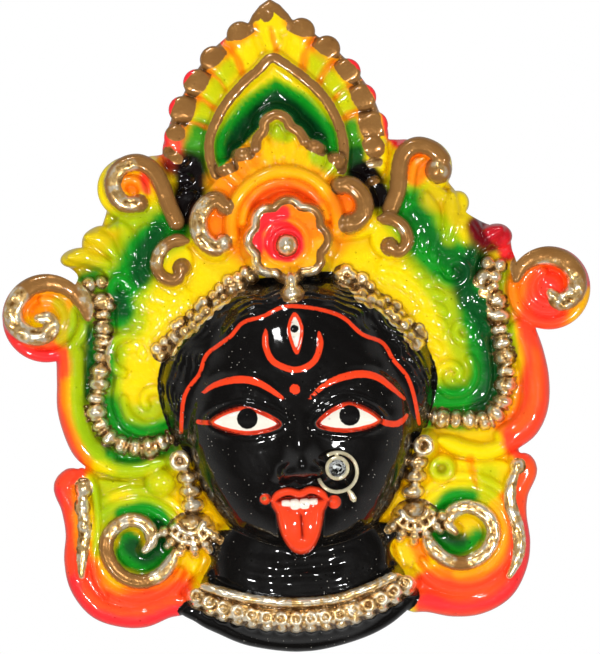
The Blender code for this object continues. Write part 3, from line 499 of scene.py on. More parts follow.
def makeFlower():
    # outline: radius = reach + scallop * |cos(petals / 2 * angle)|, with a raised gold lip along it
    top = heights["crestTop"]
    centre = np.array(flower["centre"])
    angle = np.linspace(0, 2 * np.pi, 240, endpoint=False)
    lobe = np.abs(np.cos(flower["petals"] / 2 * (angle - math.radians(flower["firstPetal"]))))
    radius = flower["reach"] + flower["scallop"] * lobe
    rim = centre + np.column_stack([radius * np.cos(angle), radius * np.sin(angle)])
    plate(rim, top + 2.5, 2)
    inner = centre + (rim - centre) * 0.93
    ridge(np.vstack([inner, inner[:1]]), 1.5, top + 4.6, soft=0.8)
    cover("gold", *goldLip(rim))
    for i in range(flower["petals"]):
        turn = math.radians(flower["firstPetal"] + 360 / flower["petals"] * i)
        petal = centre + 13.5 * np.array([math.cos(turn), math.sin(turn)])
        swell(petal, (4.2, 4.2), 1.3)
    ridge(spiralPath(flower["disc"], 11.2, 11.2, 0, 360), 1.6, top + 5.0)
    ridge(spiralPath(flower["button"], 7.8, 7.8, 0, 360), 1.1, top + 4.9)
    mound(flower["button"], (5.5, 5.5), top + 7.8, 5.5, gold=0.1)


def goldLip(rim):
    spot, d = areaDistance(rim, 3)
    return spot, 2.3 - np.abs(d - 1.4)


foliage = {
    "curls": [((-70, -32), 3, 14, 200, -190), ((-80, -8), 9, 10, 250, 60), ((-81.5, 26.5), 2.5, 8, 0, 400),
              ((80, -27), 3, 12, -20, 400), ((87, -5), 3, 8, 90, 420), ((84, 25), 3, 9, 180, -160)],
    "fronds": [[(-50, 22), (-60, 15), (-69, 8), (-75, -3)], [(-62, -6), (-59, -15), (-60, -26)],
               [(-58, 30), (-67, 24), (-76, 16)], [(-57, 52), (-65, 46), (-71, 38), (-75, 28)],
               [(47, 28), (56, 26), (64, 20), (71, 12), (73, 1)], [(65, 4), (69, -6), (68, -16)],
               [(92, 16), (94, 4), (92, -8)], [(64, 58), (69, 49), (74, 40), (80, 33)],
               [(89, 50), (87, 40), (85, 31)]],
    "leaves": [[(-106, 42.5), (-98, 42.5), (-88, 38)], [(-97, 52), (-90, 50), (-84, 42)],
               [(-80, 57), (-77, 50), (-76, 42)], [(-68, 55), (-71, 48), (-70, 40)],
               [(-60, 52), (-64, 46), (-66, 38)], [(72, 63), (75, 54), (76, 44), (74, 36)],
               [(85, 62), (84, 52), (82, 42)],
               [(93, 46), (94, 40), (94, 33)], [(108, 44), (102, 41), (96, 36)]],
    "lobes": [((-103, 42), (8.5, 4.8), 8), ((-92, 50), (8.8, 6.8), 30), ((88, 58.5), (5.5, 6), 0),
              ((106.5, 41), (7.5, 6), -10)],
    "veins": [[(-98, 45), (-92, 43.5), (-86, 40)], [(-88, 55), (-83.5, 51), (-82.5, 45)],
              [(79, 61), (80, 52), (79, 44)], [(-75, 57), (-73, 50), (-73, 43)],
              [(98, 44), (100, 38), (100, 33)]],
}


def makeFoliage():
    top = heights["foliage"] + 3
    for curl in foliage["curls"]:
        ridge(spiralPath(*curl), 2.4, top, soft=2)
    for path in foliage["fronds"]:
        frond(smoothPath(path, 1.0), top)
    for centre, radii, turn in foliage["lobes"]:
        mound(centre, radii, 14.5, 6, turn, edge=True, power=2.6)
    for leaf in foliage["leaves"]:
        ridge(smoothPath(leaf), 4.4, top - 0.1, 0.4, soft=3.5)
    for vein in foliage["veins"]:
        crease(smoothPath(vein), 1.1, 1.4)


def frond(path, top):
    # a stem with a soft leaf lobe to each side every 7 mm, turned 38 degrees from it, smaller to the tip
    ridge(path, 2.2, top - 0.9, 0.35, soft=2)
    stops = evenPath(path, 7.0)
    heading = np.degrees(np.arctan2(*np.gradient(stops, axis=0).T[::-1]))
    for i, (place, turn) in enumerate(zip(stops, heading)):
        size = 1.15 - 0.35 * i / len(stops)
        for side in (-1, 1):
            lean = math.radians(turn + side * 50)
            leaf = place + 4.2 * size * np.array([math.cos(lean), math.sin(lean)])
            mound(leaf, (6.0 * size, 3.4 * size), top - 0.9, 3, turn + side * 38, soft=1.6)
            crease(np.array([place, place + 1.9 * (leaf - place)]), 0.8, 0.5, 0.1)


beadStrings = {
    "left": [(-92, 20), (-92, 8), (-93, -8), (-96, -22), (-98, -36), (-94, -46), (-84, -53),
             (-73, -54.5), (-63, -51)],
    "right": [(98, 21), (104, 10), (105, -6), (107, -20), (106.5, -34), (103, -44), (95, -50),
              (82, -49.5), (70, -47)],
    "leftEnd": [((-98, 28), 3.6), ((-91.5, 29), 3.0), ((-97, 22), 2.6), ((-88, 17), 2.4)],
    "rightEnd": [((101, 27.5), 3.2), ((107, 26), 3.3), ((104, 21), 3.4), ((96.5, 19), 3.2), ((98, 13), 2.4)],
    "pitch": 7.0,
}


def makeBeadStrings():
    # Barrel beads with a thin disc between each two, on a cord sunk in the ground.
    for name in ("left", "right"):
        barrels(smoothPath(beadStrings[name], 1.0))
    for name in ("leftEnd", "rightEnd"):
        for place, radius in beadStrings[name]:
            mound(place, (radius, radius), heights["panel"] + 7, 4, gold=0.5, soft=0.6)
            # painted highlight: pale bronze over each end bead
            stroke("pale", [place, (place[0], place[1] + 1)], 5)


def barrels(path):
    # each bead is an egg turned across the string, 9 mm by 6.4, with a low disc beside it
    stops = evenPath(path, beadStrings["pitch"] / 2)
    turns = np.degrees(np.arctan2(*np.gradient(stops, axis=0).T[::-1]))
    top = heights["panel"] + 7.0
    ridge(path, 2.2, top - 4, gold=3.0)
    # painted highlight: pale bronze along the whole string
    stroke("pale", path[::4], 5.5)
    for i, (place, turn) in enumerate(zip(stops, turns)):
        size = 1 + chance.normal(0, 0.10)
        lean = turn + chance.normal(0, 9)
        place = place + chance.normal(0, 0.25, 2)
        if i % 2 == 0:
            mound(place, (3.2 * size, 4.5 * size), top + chance.normal(0, 0.4), 4.6, lean, gold=0.5, soft=0.5)
            across = math.radians(turn + 90)
            offset = 1.7 * np.array([math.cos(across), math.sin(across)])
            for side in (-1, 1):
                mound(place + side * offset, (2.0, 2.0), top + 0.3 + chance.normal(0, 0.3), 2.4, soft=0.4)
        else:
            mound(place, (1.1, 3.6 * size), top - 1.4, 3.0, lean, gold=0.5, soft=0.4)


lowerScrolls = [
    {"outline": [(-52, -70), (-66, -68), (-86, -70), (-104, -70), (-108, -92), (-106, -118), (-95, -132),
                 (-76, -133), (-58, -124), (-48, -104)], "centre": (-81, -104),
     "curl": [(-62, -106), (-65, -112), (-71, -118), (-80, -120.5), (-89, -117.5), (-95, -110), (-96.5, -101),
              (-93, -94), (-86, -90), (-79, -90.5), (-74.5, -95), (-74, -101), (-77.5, -105)]},
    {"outline": [(50, -70), (66, -66), (86, -70), (105, -72), (104, -92), (104, -116), (95, -134), (74, -137),
                 (56, -132), (46, -106)], "centre": (81, -106),
     "curl": [(62, -104), (65, -112), (72, -118.5), (81, -120.5), (90, -117), (95.5, -109), (95, -101),
              (90, -95), (83, -92.5), (76, -95), (73.5, -100.5), (77, -105)]},
]
# Painted highlights on the bronze, pale and more metallic: path and half width
highlightPatches = [
    ([(-73, 86), (-80, 83), (-82, 76), (-79, 69), (-73, 67)], 2.6),
    ([(-39, 64), (-41.5, 56), (-40, 48), (-31, 45)], 4),
    ([(-61, 44), (-63.5, 37)], 2.5),
    ([(-133, 24), (-136, 15), (-131, 6), (-122, 5), (-118, 10), (-124, 13)], 4.5),
    ([(126, 25.5), (134, 26)], 1.5),
    ([(134, 16), (141, 18), (143, 12), (137, 6.5), (131, 11)], 3.6),
    ([(-94, -95), (-84, -90), (-75, -95), (-74, -102), (-78, -105)], 2.6),
    ([(-72, -118), (-64, -110), (-60, -104)], 3.6),
    ([(75, -97), (82, -92), (91, -95), (96, -103), (94, -113), (86, -119)], 3.6),
    ([(66, -113), (74, -119)], 2.2),
    ([(-18, 45), (-15, 54), (-9, 60)], 2.0),
    ([(-18, 38), (-14, 31), (-7, 27)], 4),
    ([(7, 62), (13, 57)], 2.6),
    ([(13, 29), (8, 26)], 3),
    ([(1.7, 41.8), (1.8, 41.8)], 5),
    ([(3, 24), (3, 17)], 3),
    ([(55, 44), (59, 46)], 1.6),
    ([(46, 80), (50, 80)], 2.0),
    ([(78, 78), (81, 74)], 1.8),
]
sideStrokes = [[(-106, -71), (-107, -79), (-106.8, -93), (-108.5, -105), (-109.5, -116)],
               [(110, -74), (106, -83), (105, -92), (107.5, -102), (108.5, -112), (106.5, -121), (102.5, -128)]]
welt = [(-111, -70), (-106, -66), (-101.5, -71), (-100, -82), (-100.5, -94), (-103, -106), (-102.5, -117),
        (-98, -127)]
strokeLumps = [((-106, -72.5), 4.0), ((-107.3, -82), 3.6), ((-106.8, -92), 3.2)]


def makeLowerScrolls():
    top = heights["scroll"]
    for scroll in lowerScrolls:
        plate(smoothPath(scroll["outline"], closed=True), heights["lowerPanel"], 2)
        centre = scroll["centre"]
        side = math.copysign(1, centre[0])
        for reach, drop in ((28.5, 5.5), (24.0, 4.0), (20.0, 4.5)):
            sweep = spiralPath(centre, reach, reach, -150, 150)
            sweep[:, 0] = centre[0] + side * (sweep[:, 0] - centre[0])
            ridge(sweep, 2.8, top - drop, 0.1, soft=2)
        curl = smoothPath(scroll["curl"], 1.0)
        swell(centre, (12, 12), -1.5)
        ridge(curl, 3.5, top, 0.12, gold=3.7, squash=0.8)
        crease(curl[6:-4], 1.0, 0.6)
    for points in sideStrokes:
        ridge(smoothPath(points), 3.4, heights["panel"] + 9.4, 0.3, gold=3.1)
        mound(points[0], (4, 4), heights["panel"] + 9.5, 5, gold=0)
    ridge(smoothPath(welt), 1.7, heights["lowerPanel"] + 5.5, 0.2, soft=1.5)
    for place, size in strokeLumps:
        mound(place, (size, size * 1.2), heights["panel"] + 10.5, 4, gold=0.5, soft=0.8)
    # painted highlights: the pale bronze of the patches and of the side strokes
    for points, halfWidth in highlightPatches:
        stroke("pale", points, halfWidth)
    for points in sideStrokes:
        stroke("pale", points, 5)
    mound((-68, -72), (8, 7), top, 8)
    ridge(spiralPath((72, -73), 4.6, 4.6, 0, 360), 2.0, top - 2)
    crease(smoothPath([(87.5, -67), (88, -76), (90, -85)]), 1.2, 1.6)


face = {
    "hairline": [(-56, -48), (-54, -33), (-51, -26), (-45, -19), (-41, -10), (-34, -5), (-28, -1), (-22, 5),
                 (-12, 7.5), (-2, 11.5), (8, 11), (20, 8), (28, 4), (36, -4), (46, -9), (51, -18), (57, -26),
                 (60, -36), (62, -50)],
    "eyes": [{"centre": (-23.5, -43.2), "inner": (-7, -45.5), "outer": (-40, -43), "top": (-24, -37),
              "bottom": (-23, -49), "iris": (-22.5, -42)},
             {"centre": (27, -44.2), "inner": (12, -46.5), "outer": (42, -46.5), "top": (27, -37.8),
              "bottom": (27, -50.5), "iris": (27.5, -43.3)}],
    "brows": [[(-44, -28.5), (-38, -25), (-30, -23), (-22, -23), (-14, -26), (-4, -33.5)],
              [(8, -34), (16, -28), (25, -24.5), (35, -23.5), (43, -26), (50, -32), (55, -37)]],
    "noseLine": [(2.5, -33), (2.8, -42), (3, -52), (3, -60), (3, -66)],
    "crescent": [(-11, 1), (-11.5, -7), (-8, -15), (2, -19.5), (11, -16.5), (15, -9), (15, -2)],
}


def makeHead():
    spot = window([(-75, -120), (80, 32)], 1)
    x, z = gridX[spot], gridZ[spot]
    base, within = domeHeight(faceOval, x, z)
    lift(spot, base, 1.5)
    cover("skin", spot, within * faceOval["halfWidth"])
    mass, within = domeHeight(hairOval, x, z)
    lift(spot, mass, 1.5)
    cover("skin", spot, within * hairOval["halfWidth"])


def makeFeatures():
    for side in (-1, 1):
        swell((2 + side * 30, -66), (17, 18), 1.8)          # cheeks
        swell((2.5 + side * 25.5, -42), (15, 8), -3.0)      # eye sockets
        swell((2 + side * 15, -93), (6, 9), 1.8)            # jowls beside the tongue
    for brow in face["brows"]:
        path = smoothPath(brow, 1.0)
        crease(path, 3.2, -1.7)
        crease(path + [0, 5.2], 1.3, 0.6)
        crease(path + [0, -4.6], 1.6, 0.5)
    makeNose()
    for eye in face["eyes"]:
        makeEye(eye)
    stroke("red", [(-39, -43), (-43, -43), (-47, -42.5)], 1.1)
    stroke("red", [(41, -46), (46, -48.5), (51, -49), (55, -46.5), (56, -45)], 1.5, 0.3)
    for brow in face["brows"]:
        stroke("red", brow, 1.8, 0.5)
    stroke("red", face["hairline"], 0.95)
    crease(smoothPath(face["hairline"], 1.0), 1.2, -0.7, 0.02)
    crescent = smoothPath(face["crescent"], 1.0)
    crease(crescent, 1.5, -1.0, 0.05)
    stroke("red", face["crescent"], 1.5, 0.1)
    third = smoothPath([(3.5, 8.5), (7.2, 0), (3.5, -12), (-0.3, 0)], 1.0, closed=True)
    crease(np.vstack([third, third[:1]]), 1.0, -0.8, 0)
    spot, d = areaDistance(third, 3)
    cover("red", spot, d + 0.2)
    cover("white", spot, d - 1.4)
    stroke("iris", [(3, 0.5), (3.1, 0.5)], 2.0)
    swell((3, 0.5), (2, 2), 0.8)
    stroke("red", [(1.5, -29), (1.6, -29)], 2.6)
    swell((1.5, -29), (2.4, 2.4), 0.9)


def makeNose():
    # a ridge that grows towards the tip, a round tip and two wings, each a soft hill, cut off at the base
    spot, d, along = pathDistance(smoothPath(face["noseLine"], 1.0), 20)
    x, z = gridX[spot], gridZ[spot]
    rise = 1.0 + 8.0 * step01(0, 1, along)
    width = 7.4 + 2.2 * along ** 2
    base = step01(-75, -70, z) * step01(-31, -37, z)
    height[spot] += rise * np.exp(-((x - 3) / width) ** 2) * base
    swell((3, -66), (6.5, 6.2), 5.0)
    for side in (-1, 1):
        swell((3 + side * 8.6, -69.3), (3.9, 3.9), 5.2)
        wing = [(3 + side * 7.5, -64), (3 + side * 12.2, -66), (3 + side * 13.5, -70.5)]
        crease(smoothPath(wing, 1.0), 1.4, 0.6)
        swell((3 + side * 4.4, -73.2), (2.2, 1.3), -3.0)    # nostrils
        crease(smoothPath([(3 + side * 14, -72), (3 + side * 18, -80), (3 + side * 20, -88)], 1.0), 2.4, 1.0)
    swell((3, -75.5), (1.5, 2.5), -0.6)                     # groove over the lip


def makeEye(eye):
    # an almond of ball, raised by 2.4 mm * (d / 6)^0.6 over its edge, with a welt for each lid
    top = float(faceHeight(*eye["centre"]))
    almond = smoothPath([eye["outer"], eye["top"], eye["inner"], eye["bottom"]], 1.0, closed=True)
    spot, d = areaDistance(almond, 8)
    height[spot] += 1.5 * np.exp(-((d + 2.6) / 1.5) ** 2)
    ball = top + 0.2 + 2.4 * np.clip(d / 6, 0, 1) ** 0.6
    height[spot] = np.where(d > -0.6, np.minimum(np.maximum(height[spot], ball), ball + 0.8), height[spot])
    height[spot] -= 0.9 * np.exp(-((d + 5.4) / 1.0) ** 2) * (gridZ[spot] > eye["centre"][1])
    cover("white", spot, d - 1.0)
    cover("red", spot, 1.15 - np.abs(d - 0.1))
    stroke("iris", [eye["iris"], (eye["iris"][0] + 0.1, eye["iris"][1])], 5.1)


mouth = {
    "lip": [(-12.5, -83), (-9, -79.8), (-4, -78.8), (1, -80.2), (6, -78.6), (10.5, -79.8), (14.3, -83.5)],
    "tongue": [(-11, -83), (-10.5, -90), (-9.5, -97), (-7.5, -103), (-4, -108.3), (0.5, -110), (5, -108.3),
               (8.5, -103), (10.5, -97), (12, -90), (13, -83)],
    "teeth": [((-6.0, -84.4), (2.2, 1.6)), ((-1.7, -85.2), (2.3, 2.6)), ((3.0, -85.2), (2.4, 2.6)),
              ((7.4, -84.4), (2.2, 1.6))],
    "corners": [((-16, -82), 2.7), ((17.5, -85.3), 3.3)],
}


def makeMouth():
    # Lips drawn back over the upper teeth, and the tongue hanging to the chin with a groove down its middle.
    root = float(faceHeight(1, -85))
    outline = smoothPath(mouth["tongue"], 1.0, closed=True)
    spot, d = areaDistance(outline, 4)
    down = np.clip((-83 - gridZ[spot]) / 27, 0, 1)
    back = root + 3.2 + 2.0 * np.sin(np.pi * np.minimum(down * 0.9, 1)) - 5.0 * down ** 2.5
    body = back - 3.2 + 3.2 * np.sqrt(1 - (1 - np.clip(d, 0, 3.2) / 3.2) ** 2) - 0.6 * step01(3, 9, d)
    lift(spot, np.where(d > 0, body, back - 3.2 + d * 7), 0.8)
    cover("red", spot, d + 0.5)
    crease(smoothPath([(1, -89), (1.2, -96), (1, -103)], 1.0), 0.8, 1.8)
    ridge(smoothPath(mouth["lip"], 1.0), 1.7, lambda x, z: faceHeight(x, z) + 4.4, 0.15, squash=0.8)
    stroke("red", mouth["lip"], 1.9, 0.12)
    for place, half in mouth["teeth"]:
        tooth(place, half, root + 4.6)
    for corner, radius in mouth["corners"]:
        mound(corner, (radius, radius), float(faceHeight(*corner)) + 3.2, 4)
        stroke("red", [corner, (corner[0] + 0.1, corner[1])], radius)
    stroke("gold", [(-16.8, -81.6), (-16.4, -81.5)], 0.9)


def tooth(place, half, top):
    # a square block with rounded sides: q = (u^4 + v^4)^(1/4), height top - 2 + 2 * sqrt(1 - q^4)
    spot = window([place], max(half) + 2)
    u, v = (gridX[spot] - place[0]) / half[0], (gridZ[spot] - place[1]) / half[1]
    q = (u ** 4 + v ** 4) ** 0.25
    d = (1 - q) * min(half)
    lift(spot, top - 2 + np.where(q < 1, 2 * np.sqrt(np.maximum(1 - q ** 4, 0)), d * 3), 0.3)
    cover("white", spot, d - 0.05)


hair = {
    "edgeLeft": [(-4, 25.5), (-26, 22), (-47, 5), (-60, -8), (-65, -26), (-59, -53)],
    "edgeRight": [(10, 26.5), (30, 24), (50, 5), (64, -9), (71, -27), (65, -51)],
    "strands": 5, "rise": 2.6,
    "beads": [[(-64, -8), (-57, -0.5), (-50, 6), (-42, 12), (-33, 19), (-25, 25), (-19, 28)],
              [(28, 27), (35, 21), (43, 14), (50, 8), (57, 1), (65, -8)]],
    "beadRadius": 2.9, "beadPitch": 5.0, "rowApart": 4.4,
}


def makeHair():
    # Combed locks: the share of the way from hairline to outer edge, turned into strands by a cosine.
    line = smoothPath(face["hairline"], 1.5)
    outer = smoothPath(hair["edgeLeft"][::-1] + hair["edgeRight"], 1.5)
    spot, d = areaDistance(np.vstack([line, outer[::-1]]), 2)
    toLine, along = wholeDistance(line, 45)
    toEdge, _ = wholeDistance(outer, 45)
    share = toLine[spot] / (toLine[spot] + toEdge[spot] + 1e-6)
    run = along[spot]
    bend = 0.3 * np.sin(run * 46) + 0.15 * np.sin(run * 101 + 1) + handUnevenness(11, 1.1)[spot]
    strand = 0.5 + 0.5 * np.cos(2 * np.pi * (share * hair["strands"] + bend))
    fine = 0.5 + 0.5 * np.cos(2 * np.pi * (share * hair["strands"] * 2.7 + bend * 2.4))
    body = step01(0, 3, d) * np.clip(0.8 + handUnevenness(7, 0.9)[spot], 0.15, 1.5)
    height[spot] += body * hair["rise"] * (0.25 + 0.5 * strand ** 0.7 + 0.25 * fine)
    cover("skin", spot, d + 1.6)
    radius = hair["beadRadius"]
    for points in hair["beads"]:
        path = smoothPath(points, 1.0)
        normal = np.gradient(path, axis=0)[:, ::-1] * [-1, 1]
        normal /= np.hypot(*normal.T)[:, None]
        for side in (-0.5, 0.5):
            row = evenPath(path + normal * side * hair["rowApart"], hair["beadPitch"])
            for place in row + chance.normal(0, 0.65, row.shape):
                ground = max(float(headHeight(*place)) + 2.2, heights["foliage"] + 5.5) + chance.normal(0, 0.3)
                mound(place, (radius * (1 + chance.normal(0, 0.12)),) * 2, ground, 3.6, gold=0.5, soft=0.5)
        stroke("gold", points, 4.2)
        # painted highlight: pale bronze over the rows of beads
        stroke("pale", points, 7)
    hairTop = float(headHeight(3, 16))
    mound((3, 18), (5.4, 4.6), hairTop + 5.0, 6, gold=0.4)
    mound((2.8, 23), (3.0, 5.0), hairTop + 5.5, 5, gold=0.4, soft=2)


def wholeDistance(path, reach):
    # distance to the path and the share along it, for the whole grid, far values being cut off at reach
    distance = np.full(gridX.shape, float(reach))
    share = np.zeros(gridX.shape)
    spot, d, along = pathDistance(path, reach)
    distance[spot] = np.minimum(d, reach)
    share[spot] = along
    return distance, share


earrings = [
    {"side": -1, "stud": (-57.5, -61.5), "drops": [(-54, -70), (-53, -77), (-52.5, -84)], "bell": (-54, -97)},
    {"side": 1, "stud": (63.5, -61), "drops": [(60, -69), (58.5, -76), (57, -83.5)], "bell": (57.5, -97)},
]


def makeEarrings():
    # A ring stud, three linked drops, and a spread of small bells and balls under a pleated cap.
    for ring in earrings:
        x, z = ring["bell"]
        # painted highlight: pale bronze over the studs, drops and bells
        stroke("pale", [ring["stud"], *ring["drops"]], 7)
        stroke("pale", [(x - 4, z - 2), (x + 4, z - 2)], 16)
        mound(ring["stud"], (4.6, 4.6), 23, 8, gold=0.5)
        ridge(spiralPath(ring["stud"], 3.6, 3.6, 0, 360), 1.5, 25, gold=1.8, soft=0.6)
        for drop in ring["drops"]:
            mound(drop, (4.9, 3.4), 23.5, 6, gold=0.6, soft=0.7)
            mound((drop[0] + ring["side"] * 1.2, drop[1] + 3.4), (2.2, 1.4), 24, 4, gold=0.6, soft=0.5)
        mound((x, z), (11.5, 9.5), 20, 9, gold=0.6)
        ridge(spiralPath((x, z + 6), 7.0, 7.0, 200, 340), 1.5, 22.5, gold=1.8, soft=0.6)
        ridge(spiralPath((x, z + 6), 11.5, 11.5, 215, 325), 1.3, 22, gold=1.8, soft=0.6)
        for turn in range(-60, 61, 24):
            angle = math.radians(turn - 90 + ring["side"] * 8)
            for reach, size in ((9.5, 1.9), (14.5, 2.5), (17.5, 1.7)):
                place = (x + reach * math.cos(angle), z + 6 + reach * math.sin(angle))
                mound(place, (size, size), 22.3 if reach < 17 else 20.5, 4, gold=0.5, soft=0.5)


def neckHeight(x, z):
    across = np.minimum(np.abs(x) / 58, 1)
    return heights["bust"] - 7 + (heights["neck"] - heights["bust"] + 6) * np.sqrt(1 - across ** 2)


neck = {
    "throat": [(-46, -98), (-45, -112), (-50, -128), (-20, -140), (22, -140), (50, -128),
               (44, -112), (43, -98)],
    "bust": [(-61, -134.5), (-54, -142.5), (-44, -148.5), (-27, -156), (0, -160), (28, -155), (47, -145.5),
             (56, -133), (30, -122), (-30, -122)],
    "folds": [(-109, 9, 1.2), (-116, 9, 1.6), (-123, 9, 1.3)],
    "collar": [(-50, -124), (-35, -129), (-18, -133), (0, -134.5), (17, -133.5), (32, -129.5), (46, -124)],
    "pendants": [(-53, -128.5), (-40, -135), (-20, -140.5), (0, -142.5), (20, -141), (38, -135), (51, -128)],
    "rosettePitch": 7.2,
}


def makeNeck():
    throat = smoothPath(neck["throat"], closed=True)
    plate(throat, heights["bust"] - 6, 3)
    spot, d = areaDistance(throat)
    cover("skin", spot, d)
    mound((0, -116), (46, 38), heights["neck"], 22)
    for level, sag, depth in neck["folds"]:
        fold = smoothPath([(-44, level + sag), (-22, level), (0, level - 1.5), (22, level), (43, level + sag)])
        crease(fold, 2.6, depth, 0.3)
    bust = smoothPath(neck["bust"], closed=True)
    plate(bust, heights["bust"] - 5, 5, edge=True)
    spot, d = areaDistance(bust)
    cover("skin", spot, d + 1)
    mound((0, -132), (48, 24), heights["bust"] + 6, 14)
    makeNecklace()


def makeNecklace():
    # A smooth rim over a row of rosettes, each a ring round a pearl with a drop, and a pearl between each two.
    collar = smoothPath(neck["collar"], 1.0)
    row = smoothPath(neck["pendants"], 1.0)
    ridge(row + [0, 1.5], 4.6, lambda x, z: neckHeight(x, z) + 1.2, 0.02, gold=4.8, squash=0.5)
    ridge(collar, 2.1, lambda x, z: neckHeight(x, z) + 3.8, 0.02, gold=2.4)
    # painted highlight: pale bronze over the row of rosettes
    stroke("pale", neck["pendants"], 12)
    stroke("gold", np.array(neck["pendants"]) - [0, 1.6], 5.0)
    stops = evenPath(row, neck["rosettePitch"])
    for i, place in enumerate(stops):
        ground = float(neckHeight(*place))
        ridge(spiralPath(place, 2.6, 2.6, 0, 360), 0.9, ground + 3.2, gold=1.2, soft=0.5)
        mound(place, (1.4, 1.4), ground + 3.4, 3, gold=0.3, soft=0.4)
        mound(place + [0, -4.4], (2.3, 2.0), ground + 2.4, 3, gold=0.6, soft=0.5)
        if i + 1 < len(stops):
            between = (place + stops[i + 1]) / 2
            mound(between + [0, 2.2], (1.3, 1.3), float(neckHeight(*between)) + 3.0, 3, gold=0.4, soft=0.4)
            mound(between + [0, -2.4], (1.5, 1.8), float(neckHeight(*between)) + 2.6, 3, gold=0.5, soft=0.4)


colours = {
    "yellow": "#f4d804", "olive": "#d8bb10", "warm": "#fcb40c", "orange": "#ff8010", "red": "#f62c34",
    "scarlet": "#ff4526", "lime": "#9fc008", "green": "#0f931d", "deep": "#05431d", "maroon": "#6a0812",
    "crimson": "#c41824", "black": "#0d0708",
}


def linear(code):
    # sRGB hex to linear light: (c / 12.92) in the toe, ((c + 0.055) / 1.055) ^ 2.4 above it
    c = np.array([int(code[i:i + 2], 16) for i in (1, 3, 5)]) / 255
    return np.where(c <= 0.04045, c / 12.92, ((c + 0.055) / 1.055) ** 2.4)


